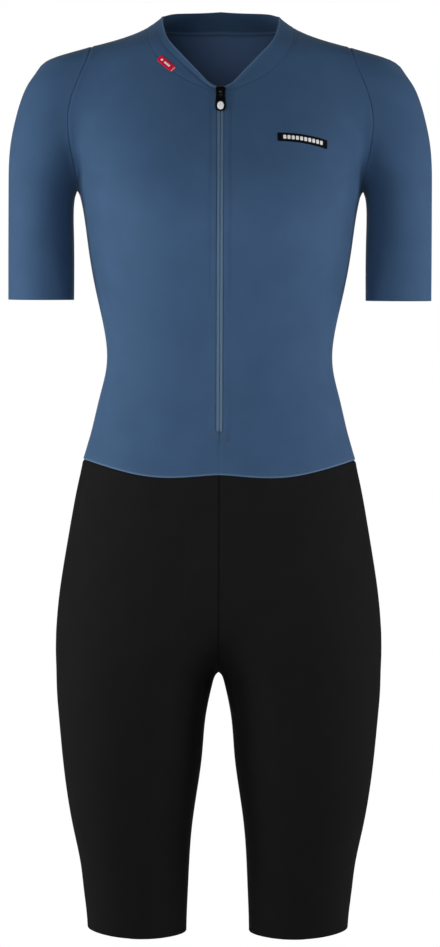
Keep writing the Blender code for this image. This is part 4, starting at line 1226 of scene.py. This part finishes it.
# The seat pad: share of the way along it, half width, thickness.
PAD_ROWS = (
    (0.00, 0.0180, 0.0020),
    (0.10, 0.0390, 0.0035),
    (0.30, 0.0500, 0.0060),
    (0.50, 0.0520, 0.0070),
    (0.75, 0.0680, 0.0075),
    (0.92, 0.0560, 0.0040),
    (1.00, 0.0280, 0.0020),
)
PAD_FRONT, PAD_BACK = -0.592, -0.575
PAD_CELLS = (22, 96)     # out from the middle, along
PAD_CHANNEL = (0.45, 0.06, 0.0018)       # share of the half width, its width, its depth
PAD_RIM = 0.0010         # thickness of the pad's rim
PAD_SEAM_MARK = 0.7      # how strongly a channel shows its seam's colour


def pad_piece():
    """The seat pad: a crowned cushion on the form's inner side, with sewn channels.

    Points step outwards from the crotch line, each step straight on along the form.
    Thickness = the rim's, and the rest of the table's times 1 - share^6 towards the rim,
    less the channels.
    """
    ends = [front_at(0.0, PAD_FRONT), back_centre(PAD_BACK)]
    turns = [crotch_turn(p) % 360 for p in ends]
    line = seam((crotch, *turns, PAD_CELLS[1]))(np.arange(PAD_CELLS[1] + 1.0))
    along = np.linspace(0, 1, len(line))
    half_width, thick = cubic(PAD_ROWS)(along)
    rows, point, heading = [line], line, np.array([1.0, 0, 0]) + 0 * line
    for _ in range(PAD_CELLS[0]):
        out = outward(point)
        heading = unit(heading - (heading * out).sum(-1, keepdims=True) * out)
        ahead = snap(point + heading * half_width[:, None] / PAD_CELLS[0], 2)
        point, heading = ahead, ahead - point
        rows.append(point)
    half = np.stack(rows)
    grid = np.concatenate([other_side(half)[:-1], half])
    across = np.linspace(-1, 1, len(grid))[:, None]
    rim = 1 - np.maximum(np.abs(across), np.abs(2 * along[None] - 1)) ** 6
    place, width, depth = PAD_CHANNEL
    channels = depth * (bell(np.abs(across) - place, width) + 0.8 * bell(across, 0.5 * width))
    channels = channels * np.clip(np.sin(np.pi * along)[None] * 2.5 - 0.6, 0, 1)
    thickness = PAD_RIM + (thick[None] - PAD_RIM) * rim - np.minimum(channels, 0.6 * thick[None]) * rim
    out = outward(grid)
    outer = grid - (sizes().cloth + sizes().pad_clearance) * out
    seams = np.clip(channels / depth, 0, 1) * PAD_SEAM_MARK
    piece = shell("chamois_pad_cushion", outer, outer - thickness[..., None] * out, "pad_fleece",
                  "pad_grey", marks={"mark": (seams, seams)})
    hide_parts("chamois_pad")


# The tape, from its rolled edge over the coil to its flat: distance from the middle, depth.
TAPE_ROWS = ((0.00015, 0.00120), (0.00040, 0.00080), (0.00110, 0.00042), (0.00220, 0.00025),
             (0.00310, 0.00045), (0.00370, 0.00090), (0.00430, 0.00150), (0.00500, 0.00160))
TAPE_HALF, TAPE_DEPTH, TAPE_THICK = 0.0125, 0.0016, 0.0006
TAPE_CUTS = (20, 7)      # cells across the rolled edge and across the flat
TAPE_BELOW = 0.0115      # how far the tape runs on below the zip's foot
ZIP_CELLS = 259          # cells down the tape
COIL_MIDDLE, COIL_HALF = (0.0013, 0.0012), (0.0012, 0.0007)    # from the mid-plane, under the tape
COIL_WIRE = 0.00028      # half the wire's thickness
COIL_POINTS = (9, 5)     # points to a turn, points round the wire


def zip_rows():
    """Heights up the zip, from below its foot to the collar's edge."""
    top = neck_edge(0.0)[2] - 0.0004
    return np.linspace(ZIP_FOOT - TAPE_BELOW, top, ZIP_CELLS + 1)


def zip_place(x, z, depth):
    """Points beside the zip: across, up, and this deep under the form."""
    face = front_at(x, z)
    return face - depth[..., None] * outward(face)


def zip_tapes():
    """The two tape halves, each with a rolled edge, and the coils behind them.

    Depth of a tape = the table's, read along a cubic curve. A coil's wire runs round an
    ellipse as it climbs, and the other coil is half a turn behind.
    """
    rows = np.array(TAPE_ROWS)
    x = np.concatenate([np.linspace(rows[0, 0], rows[-1, 0], TAPE_CUTS[0] + 1),
                        np.linspace(rows[-1, 0], TAPE_HALF, TAPE_CUTS[1] + 1)[1:]])[:, None]
    z = zip_rows()
    under = TAPE_DEPTH + TAPE_THICK
    turns = (z[-1] - z[0]) / sizes().coil_pitch
    t = np.linspace(0, 1, int(turns * COIL_POINTS[0]))
    for hand, sign, start in (("left", 1.0, 0.0), ("right", -1.0, np.pi)):
        outer, inner = [zip_place(sign * x, z[None], depth + 0 * x + 0 * z[None])
                        for depth in (cubic(TAPE_ROWS)(x)[0], under)]
        tape = shell(f"zip_tape_{hand}", outer, inner, "zip_tape", "zip_tape")
        tuple(worn_size(outer))
        phase = 2 * np.pi * turns * t + start
        middle = zip_place(sign * (COIL_MIDDLE[0] + COIL_HALF[0] * np.cos(phase)), z[0] + (z[-1] - z[0]) * t,
                           under + COIL_MIDDLE[1] + COIL_HALF[1] * np.sin(phase))
        ahead = unit(np.gradient(middle, axis=0))
        side = unit(np.cross(ahead, (0.0, 0.0, 1.0)))
        up = np.cross(side, ahead)
        turn = np.linspace(0, 2 * np.pi, COIL_POINTS[1], endpoint=False)[:, None, None]
        wire = middle[None] + COIL_WIRE * (np.cos(turn) * side + np.sin(turn) * up)
        coil = lofted(f"zip_coil_{hand}", wire, "zip_coil", "zip_coil")
        if hand == "left":
            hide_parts("zip_tape")
            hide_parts("zip_chain")


SLIDER_HEIGHT = -0.0575
SLIDER_HALF, SLIDER_LONG = (0.0054, 0.0048), 0.0112
SLIDER_BASE, SLIDER_THICK = 0.0006, 0.0024
SLIDER_WAIST = 0.10      # how far the slider's sides draw in at its middle
SLIDER_SQUARE, ARCH_SQUARE, BRIDGE_SQUARE = 0.55, 0.45, 0.50     # below 1 squares a curve
# The slider's plate and the oval on its pull are stacks of outlines: size, height.
SLIDER_LAYERS = ((0.80, 0.00), (0.95, 0.02), (1.0, 0.14), (1.0, 0.70), (0.97, 0.86), (0.90, 0.96),
                 (0.78, 1.0))
OVAL_LAYERS = ((0.9, -0.1), (1.0, 0.0), (1.0, 0.10), (0.93, 0.20), (0.75, 0.27), (0.4, 0.31))
BRIDGE_HALF, BRIDGE_THICK, BRIDGE_REACH = 0.0015, 0.0011, 0.0038
BRIDGE_FOOT, BRIDGE_CREST = 0.0027, 0.0058       # heights of its middle line over the form
PULL_THICK, PULL_ROUND = 0.0011, 0.00028         # its thickness, the radius of its edges
PULL_AXIS, PULL_LIFT = -0.0021, 0.0041   # the pull's bar: along the slider, and out
PULL_WINDOW = (0.0019, 0.0027, 0.0033)   # half width, half length, middle from the bar
PULL_CUTS, PULL_BLUR = 400, 25           # cuts along its outline, how many are averaged
PULL_SMOOTH = (0.0010, 0.0221)           # the stretch of the outline that is smoothed
# The pull's outline: distance from its bar, half width.
PULL_ROWS = ((-0.00060, 0.0), (-0.00058, 0.0030), (-0.0003, 0.0042), (0.0006, 0.0046), (0.0060, 0.0047),
             (0.0140, 0.0054), (0.0180, 0.0056), (0.0205, 0.0051), (0.0224, 0.0036), (0.0232, 0.0016),
             (0.0233, 0.0))
OVAL_AT, OVAL_HALF = 0.0170, (0.0034, 0.0048)


def slider_place(p):
    """Points of the slider's own frame (across, out, up) put on the zip."""
    foot = front_at(0.0, SLIDER_HEIGHT)
    out = outward(foot)
    up = np.cross(out, (1.0, 0, 0))
    return foot + p[..., :1] * (1.0, 0, 0) + p[..., 1:2] * out + p[..., 2:] * up


def squared(turn, power):
    """Cosine and sine drawn towards a square: sign(c) |c|^power, sign(s) |s|^power."""
    c, s = np.cos(turn), np.sin(turn)
    return np.sign(c) * np.abs(c) ** power, np.sign(s) * np.abs(s) ** power


def slider_piece():
    """The slider: a rounded plate of stacked outlines, and an arched bridge.

    The bridge's section, a rounded square, is carried along a flattened arch.
    """
    size, height = np.array(SLIDER_LAYERS).T
    across, up = squared(np.linspace(0, 2 * np.pi, 64, endpoint=False)[:, None], SLIDER_SQUARE)
    half = SLIDER_HALF[1] + (SLIDER_HALF[0] - SLIDER_HALF[1]) * (1 + up) / 2
    half = half * (1 - SLIDER_WAIST * bell(up + 0.1, 0.35))
    plate = np.stack([across * half * size, SLIDER_BASE + SLIDER_THICK * height + 0 * across,
                      up * SLIDER_LONG / 2 * size], -1)
    body = lofted("zip_slider_body", slider_place(plate), "lacquer", "zip_black")
    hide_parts("zip_slider")
    along, rise = squared(np.linspace(np.pi, 0, 33), ARCH_SQUARE)
    spine = np.stack([along * BRIDGE_REACH, BRIDGE_FOOT + rise * (BRIDGE_CREST - BRIDGE_FOOT)], -1)
    ahead = unit(np.gradient(spine, axis=0))
    normal = np.stack([-ahead[:, 1], ahead[:, 0]], -1)
    side, deep = squared(np.linspace(0, 2 * np.pi, 20, endpoint=False)[:, None], BRIDGE_SQUARE)
    section = spine[None] + deep[..., None] * BRIDGE_THICK / 2 * normal[None]
    arch = np.stack([side * BRIDGE_HALF + 0 * section[..., 0], section[..., 1], section[..., 0]], -1)
    lofted("zip_slider_bridge", slider_place(arch), "lacquer", "zip_black")


def pull_piece():
    """The pull tab: a ring between its window and its outline, and a plain oval on it.

    About the window's middle, the outline and the window each have a radius for every
    direction; the section between them is a rectangle with rounded corners. The
    outline's sides are smoothed with a running mean, its ends stay sharp.
    """
    distance, width = np.array(PULL_ROWS).T
    window_half, window_long, middle = PULL_WINDOW
    fine = np.linspace(distance[0], distance[-1], PULL_CUTS)
    half = np.interp(fine, distance, width)
    kernel = np.hanning(PULL_BLUR) / np.hanning(PULL_BLUR).sum()
    smoothed = (fine > PULL_SMOOTH[0]) & (fine < PULL_SMOOTH[1])
    half = np.where(smoothed, np.convolve(half, kernel, "same"), half)
    angle, reach = np.arctan2(half, fine - middle), np.hypot(half, fine - middle)
    order = np.argsort(angle)
    turn = np.linspace(-np.pi, np.pi, 96, endpoint=False)
    outer = np.interp(np.abs(turn), angle[order], reach[order])
    inner = ((np.abs(np.sin(turn)) / window_half) ** 4 + (np.abs(np.cos(turn)) / window_long) ** 4) ** -0.25
    rim, h = PULL_ROUND, PULL_THICK / 2
    corner = np.array([(rim, h), (0.3 * rim, h - 0.3 * rim), (0.0, h - rim)])
    rise = np.concatenate([-corner[:, 1], corner[::-1, 1], corner[:, 1], -corner[::-1, 1]])
    inset = np.concatenate([corner[:, 0], corner[::-1, 0]])
    radius = np.concatenate([inner[:, None] + inset, outer[:, None] - inset], 1)
    flat = np.stack([radius * np.sin(turn)[:, None], PULL_LIFT + 0 * radius + rise,
                     PULL_AXIS - middle - radius * np.cos(turn)[:, None]], -1)
    tab = lofted("zip_pull_tab", slider_place(flat), "lacquer", "zip_black", "pull_tab", ring_v=True)
    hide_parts("zip_pull")
    turn = np.linspace(0, 2 * np.pi, 48, endpoint=False)[:, None]
    size, height = np.array(OVAL_LAYERS).T
    oval = np.stack([np.sin(turn) * OVAL_HALF[0] * size, PULL_LIFT + h + 0.001 * height + 0 * turn,
                     PULL_AXIS - OVAL_AT - np.cos(turn) * OVAL_HALF[1] * size], -1)
    lofted("zip_pull_oval", slider_place(oval), "white_enamel", "zip_black", "pull_tab")


LABEL_CENTRE, LABEL_SIZE, LABEL_TILT = (0.0845, -0.1075), (0.0557, 0.0100), 6.8
TAB_CENTRE, TAB_SIZE, TAB_TILT = (-0.0559, -0.0263), (0.0222, 0.0076), 42.0
LABEL_LIFT, TAB_LIFT, LABEL_THICK = 0.00008, 0.00028, 0.00050
CORNERS = {"label": 0.0006, "tab": 0.0020, "mark": 0.0004, "end": 0.0003}        # their radii
LABEL_BOW = 0.0010       # how far the label's middle arches over its ends
MARKS = 10               # plain blocks along the chest label
MARK_SIZE, MARK_STEP = (0.0034, 0.0046), 0.0045
TAB_MARKS = ((-0.0062, 0.0026), (-0.0012, 0.0024), (0.0014, 0.0022), (0.0040, 0.0026))   # along, size
TAB_MARK_HEIGHT, TAB_END = 0.0022, (0.0009, 0.0058)
MARK_THICK, MARK_SUNK = 0.00014, 0.00006         # a mark's thickness, and how deep it sits


def patch_frame(centre, tilt):
    """A place on the front: its middle and the directions along and over a tilted patch."""
    middle = front_at(*centre)
    out = outward(middle)
    across = unit(np.cross((0, 0, 1), out))
    up, turn = np.cross(out, across), np.radians(tilt)
    return (middle, np.cos(turn) * across - np.sin(turn) * up, np.sin(turn) * across + np.cos(turn) * up)


def patch_grid(place, centre, size, cells, rounded, bow=0.0):
    """A grid of a patch's points on the form, its corners rounded with this radius.

    A patch that bows is carried over by bow * (1 - (along / half the label)^2).
    """
    middle, along, over = place
    u = np.linspace(-1, 1, cells[0] + 1)[:, None] * np.ones((1, cells[1] + 1))
    v = np.ones((cells[0] + 1, 1)) * np.linspace(-1, 1, cells[1] + 1)[None, :]
    near = np.clip((np.abs(v) - 1) * size[1] / 2 / rounded + 1, 0, None)
    reach = size[0] / 2 - rounded * (1 - np.sqrt(np.clip(1 - near ** 2, 0, 1)))
    far = centre[0] + u * reach
    rise = centre[1] + v * size[1] / 2 + bow * (1 - (2 * far / LABEL_SIZE[0]) ** 2)
    flat = middle + far[..., None] * along + rise[..., None] * over
    return snap(flat)


def patch(name, grid, base, thick, finish, slot, rim=0.0004):
    """A thin patch on the front, its outer face falling at the rim."""
    near = np.minimum.reduce(distances(grid))
    fall = np.clip(1 - near / rim, 0, 1) ** 2 * 0.6 * thick
    out, base = outward(grid), base + bust_relief(grid, sizes().bust)
    return shell(name, grid + (base + thick - fall)[..., None] * out, grid + base[..., None] * out,
                 finish, slot)


def label_pieces():
    """The chest label and the collar tab, with plain marks in place of words."""
    label, tab = patch_frame(LABEL_CENTRE, LABEL_TILT), patch_frame(TAB_CENTRE, TAB_TILT)
    grid = patch_grid(label, (0, 0), LABEL_SIZE, (60, 14), CORNERS["label"], LABEL_BOW)
    film = patch("chest_label_film", grid, LABEL_LIFT, LABEL_THICK, "label_film", "label_black")
    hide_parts("chest_label")
    weave = patch("collar_tab_weave", patch_grid(tab, (0, 0), TAB_SIZE, (40, 16), CORNERS["tab"]),
                  TAB_LIFT, LABEL_THICK, "tab_weave", "tab_red")
    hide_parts("collar_tab")
    marks = [(f"chest_label_mark_{n + 1}", label, (n - (MARKS - 1) / 2) * MARK_STEP, MARK_SIZE, LABEL_BOW)
             for n in range(MARKS)]
    marks += [(f"collar_tab_mark_{n + 1}", tab, along, (size, TAB_MARK_HEIGHT), 0.0)
              for n, (along, size) in enumerate(TAB_MARKS)]
    for name, place, along, size, bow in marks:
        lift, slot = (LABEL_LIFT, "label_black") if place is label else (TAB_LIFT, "tab_red")
        patch(name, patch_grid(place, (along, 0), size, (6, 6), CORNERS["mark"], bow),
              lift + LABEL_THICK - MARK_SUNK, MARK_THICK, "mark_film", slot, 0.0001)
    end = patch_grid(tab, (TAB_SIZE[0] / 2 - TAB_END[0], 0), TAB_END, (4, 12), CORNERS["end"])
    patch("collar_tab_end", end, TAB_LIFT + LABEL_THICK - MARK_SUNK, MARK_THICK, "tab_rim", "tab_red", 0.0001)


BARTACK_STEP = 0.0008    # between the rows of stitches that fill the box
BOX_MARGIN = 0.0006      # the box's rows stop this short of its edge
ZIP_POINTS, BOX_POINTS = 1200, 2400      # points along these two routes
# Rows of stitches round the suit: name, heights of the seam and which column of them,
# direction of the first stitch, points along the route, height over the seam.
ROUND_ROWS = (("collar", NECK, 1, 5.0, 900, -0.0034), ("waist", WAIST, 0, 0.0, 1400, 0.0046))


def front_route(corners, count):
    """Evenly spaced points of the front along straight runs between corners (x, z)."""
    corners = np.array(corners)
    gone = travelled(corners)
    along = np.linspace(0, gone[-1], count)
    return front_at(np.interp(along, gone, corners[:, 0]), np.interp(along, gone, corners[:, 1]))


def stitch_pieces():
    """Topstitching beside the zip and in its box, under the collar and over the waist seam."""
    half, top = ZIP_HALF_GAP + PLACKET, neck_seam(0.0)[2] - 0.004
    low = ZIP_FOOT - ZIP_BOX
    route = front_route([(-half, top), (-half, low), (half, low), (half, top)], ZIP_POINTS)
    stitches("zip_stitches", route, "blue_thread")
    rows = np.repeat(np.arange(ZIP_FOOT - BARTACK_STEP, low + BOX_MARGIN, -BARTACK_STEP), 2)
    ends = (half - BOX_MARGIN) * np.tile([-1, 1, 1, -1], len(rows))[:len(rows)]
    route = front_route(np.stack([ends, rows], -1), BOX_POINTS)
    stitches("zip_foot_stitches", route, "box_thread", PLACKET_RISE)
    for name, heights, column, start, count, over in ROUND_ROWS:
        degrees = np.linspace(start, 360.0 - start, count)
        route = around(degrees, heights(np.minimum(degrees, 360 - degrees))[column] + over)
        stitches(name + "_stitches", route, "blue_thread", 0.5 * RIDGE_RISE)


# ======================= stage =======================

VIEW_MIDDLE = -0.4474    # height of the view's middle
FLOOR_DROP = 0.52        # how far the floor lies below the hems
FLOOR_ROWS = ((2.6, -0.02), (2.6, -0.002), (2.59, 0.0), (0.2, 0.0))      # its rings: radius, height
UNDER = SOLID_BOX[0][2] - 0.06                   # the floor's own lights hang under the suit
WAIST_PLACE, MIDDLE_PLACE = (0.0, 0.0, -0.38), (0.0, 0.0, -0.40)
# Softboxes: name, place, what each one faces, its width and height, its setting, and share of it.
LAMPS = (
    ("strip_left", (-1.25, -0.32, -0.32), WAIST_PLACE, (0.38, 0.7), "left_light", 1.0),
    ("strip_right", (1.25, -0.35, -0.32), WAIST_PLACE, (0.38, 0.7), "right_light", 1.0),
    ("corner_left", (-1.2, -1.0, -0.32), WAIST_PLACE, (0.32, 0.5), "corner_light", 1.2),
    ("corner_right", (1.2, -1.0, -0.32), WAIST_PLACE, (0.32, 0.5), "corner_light", 0.8),
    ("rim_left", (-1.9, 0.50, -0.10), MIDDLE_PLACE, (0.6, 1.3), "rim_light", 1.0),
    ("rim_right", (1.9, 0.50, -0.10), MIDDLE_PLACE, (0.6, 1.3), "rim_light", 1.0),
    ("softbox_front", (-0.15, -0.95, -0.10), (0.0, 0.0, -0.22), (0.6, 0.4), "front_light", 1.0),
    ("softbox_back", (0.0, 3.0, -0.2), MIDDLE_PLACE, (2.0, 1.6), "back_light", 1.0),
    ("softbox_top", (0.0, 1.1, 1.7), (0.0, 0.3, -0.6), (1.8, 1.2), "top_light", 1.0),
    ("floor_front", (0.0, -2.0, UNDER), (0.0, -2.001, UNDER - 1), (3.4, 2.2), "floor_light", 1.0),
    ("floor_back", (0.0, 1.6, UNDER), (0.0, 1.601, UNDER - 1), (3.4, 2.2), "floor_light", 1.8),
)


def floor_piece():
    """The pale floor: a disc of rings closed by one face, with a low rim round it."""
    turn = np.linspace(0, 2 * np.pi, 96, endpoint=False)[:, None]
    reach, rise = np.array(FLOOR_ROWS).T
    height = rise + SOLID_BOX[0][2] - FLOOR_DROP
    disc = np.stack([reach * np.cos(turn), reach * np.sin(turn), height + 0 * turn], -1)
    numbers = np.arange(disc[..., 0].size).reshape(-1, len(FLOOR_ROWS))
    mesh = bpy.data.meshes.new("floor")
    faces = skinned(numbers, True).tolist() + [numbers[:, -1].tolist()]
    mesh.from_pydata(disc.reshape(-1, 3).tolist(), [], faces)
    mesh.materials.append(material("floor"))
    placed("floor", mesh)


def room_light():
    """A white room behind the suit, which lights it by the ambient setting."""
    scene = bpy.context.scene
    scene.world = bpy.data.worlds.new("room")
    scene.world.use_nodes = True
    nodes, links = scene.world.node_tree.nodes, scene.world.node_tree.links
    nodes.clear()
    pick, rays, out = [nodes.new("ShaderNode" + kind) for kind in ("MixShader", "LightPath", "OutputWorld")]
    links.new(rays.outputs["Is Camera Ray"], pick.inputs[0])
    for socket, strength in ((1, scene.suit_studio.ambient), (2, 1.0)):
        room = nodes.new("ShaderNodeBackground")
        room.inputs["Strength"].default_value = strength
        room.inputs["Color"].default_value = (1, 1, 1, 1)
        links.new(room.outputs[0], pick.inputs[socket])
    links.new(pick.outputs[0], out.inputs["Surface"])
    scene.view_settings.view_transform = "Standard"


def softboxes():
    """The rectangular softboxes, each turned to what it faces."""
    for name, place, target, size, setting, share in LAMPS:
        data = bpy.data.lights.new(name, "AREA")
        data.shape, data.size, data.size_y = "RECTANGLE", *size
        data.energy = getattr(bpy.context.scene.suit_studio, setting) * share
        light = placed(name, data)
        light.location = place
        light.rotation_euler = (Vector(target) - Vector(place)).to_track_quat("-Z", "Y").to_euler()


def viewpoint():
    """The camera, level and square to the suit's front."""
    settings = bpy.context.scene.suit_studio
    data = bpy.data.cameras.new("camera")
    data.lens = data.sensor_width * settings.distance / settings.view_height
    camera = placed("camera", data)
    camera.location = (settings.shift, -settings.distance, VIEW_MIDDLE)
    camera.rotation_euler = (np.pi / 2, 0.0, 0.0)
    camera.rotation_euler.rotate_axis("Z", settings.roll)
    bpy.context.scene.camera = camera


# ======================= operators and panel =======================

class SuitOperator:
    """What the suit's operators share: each one runs its own list of builders."""
    bl_options = {"REGISTER", "UNDO"}
    builders = ()

    def execute(self, context):
        for build in self.builders:
            build()
        return {"FINISHED"}


class SUIT_OT_top(SuitOperator, bpy.types.Operator):
    """Build the two fronts and the back of the top"""
    bl_idname, bl_label = "suit.top", "Top: fronts and back"
    builders = (front_pieces, back_piece)


class SUIT_OT_sleeves(SuitOperator, bpy.types.Operator):
    """Build the two sleeves"""
    bl_idname, bl_label = "suit.sleeves", "Sleeves"
    builders = (sleeve_pieces,)


class SUIT_OT_collar(SuitOperator, bpy.types.Operator):
    """Build the collar band"""
    bl_idname, bl_label = "suit.collar", "Collar"
    builders = (collar_piece,)


class SUIT_OT_shorts(SuitOperator, bpy.types.Operator):
    """Build the four panels of the shorts"""
    bl_idname, bl_label = "suit.shorts", "Shorts"
    builders = (shorts_pieces,)


class SUIT_OT_pad(SuitOperator, bpy.types.Operator):
    """Build the seat pad inside the shorts"""
    bl_idname, bl_label = "suit.pad", "Seat pad"
    builders = (pad_piece,)


class SUIT_OT_zip(SuitOperator, bpy.types.Operator):
    """Build the zip: tapes, coils, slider and pull"""
    bl_idname, bl_label = "suit.zip", "Zip"
    builders = (zip_tapes, slider_piece, pull_piece)


class SUIT_OT_labels(SuitOperator, bpy.types.Operator):
    """Build the chest label and the collar tab"""
    bl_idname, bl_label = "suit.labels", "Label and tab"
    builders = (label_pieces,)


class SUIT_OT_stitching(SuitOperator, bpy.types.Operator):
    """Build the rows of topstitching and the box below the zip"""
    bl_idname, bl_label = "suit.stitching", "Topstitching"
    builders = (stitch_pieces,)


class SUIT_OT_stage(SuitOperator, bpy.types.Operator):
    """Build the studio: floor, room light, softboxes and camera"""
    bl_idname, bl_label = "suit.stage", "Stage"
    builders = (floor_piece, room_light, softboxes, viewpoint)


OPERATORS = (SUIT_OT_stage, SUIT_OT_top, SUIT_OT_sleeves, SUIT_OT_collar, SUIT_OT_shorts, SUIT_OT_pad,
             SUIT_OT_zip, SUIT_OT_labels, SUIT_OT_stitching)
GROUPS = (("suit_sizes", SuitSizes), ("suit_colours", SuitColours), ("suit_studio", SuitStudio))


class SUIT_PT_panel(bpy.types.Panel):
    """The suit's settings and pieces"""
    bl_idname, bl_label = "SUIT_PT_panel", "Skinsuit"
    bl_space_type, bl_region_type, bl_category = "VIEW_3D", "UI", "Skinsuit"

    def draw(self, context):
        for key, group in GROUPS:
            box = self.layout.box()
            for name in group.__annotations__:
                box.prop(getattr(context.scene, key), name)
        for operator in OPERATORS:
            self.layout.operator(operator.bl_idname)


def register():
    for key, group in GROUPS:
        bpy.utils.register_class(group)
        setattr(bpy.types.Scene, key, bpy.props.PointerProperty(type=group))
    for made_class in (*OPERATORS, SUIT_PT_panel):
        bpy.utils.register_class(made_class)


def unregister():
    for made_class in (SUIT_PT_panel, *OPERATORS[::-1]):
        bpy.utils.unregister_class(made_class)
    for key, group in GROUPS[::-1]:
        delattr(bpy.types.Scene, key)
        bpy.utils.unregister_class(group)


def main():
    register()
    for operator in OPERATORS:
        group, call = operator.bl_idname.split(".")
        getattr(getattr(bpy.ops, group), call)()
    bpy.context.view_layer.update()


if __name__ == "__main__":
    main()
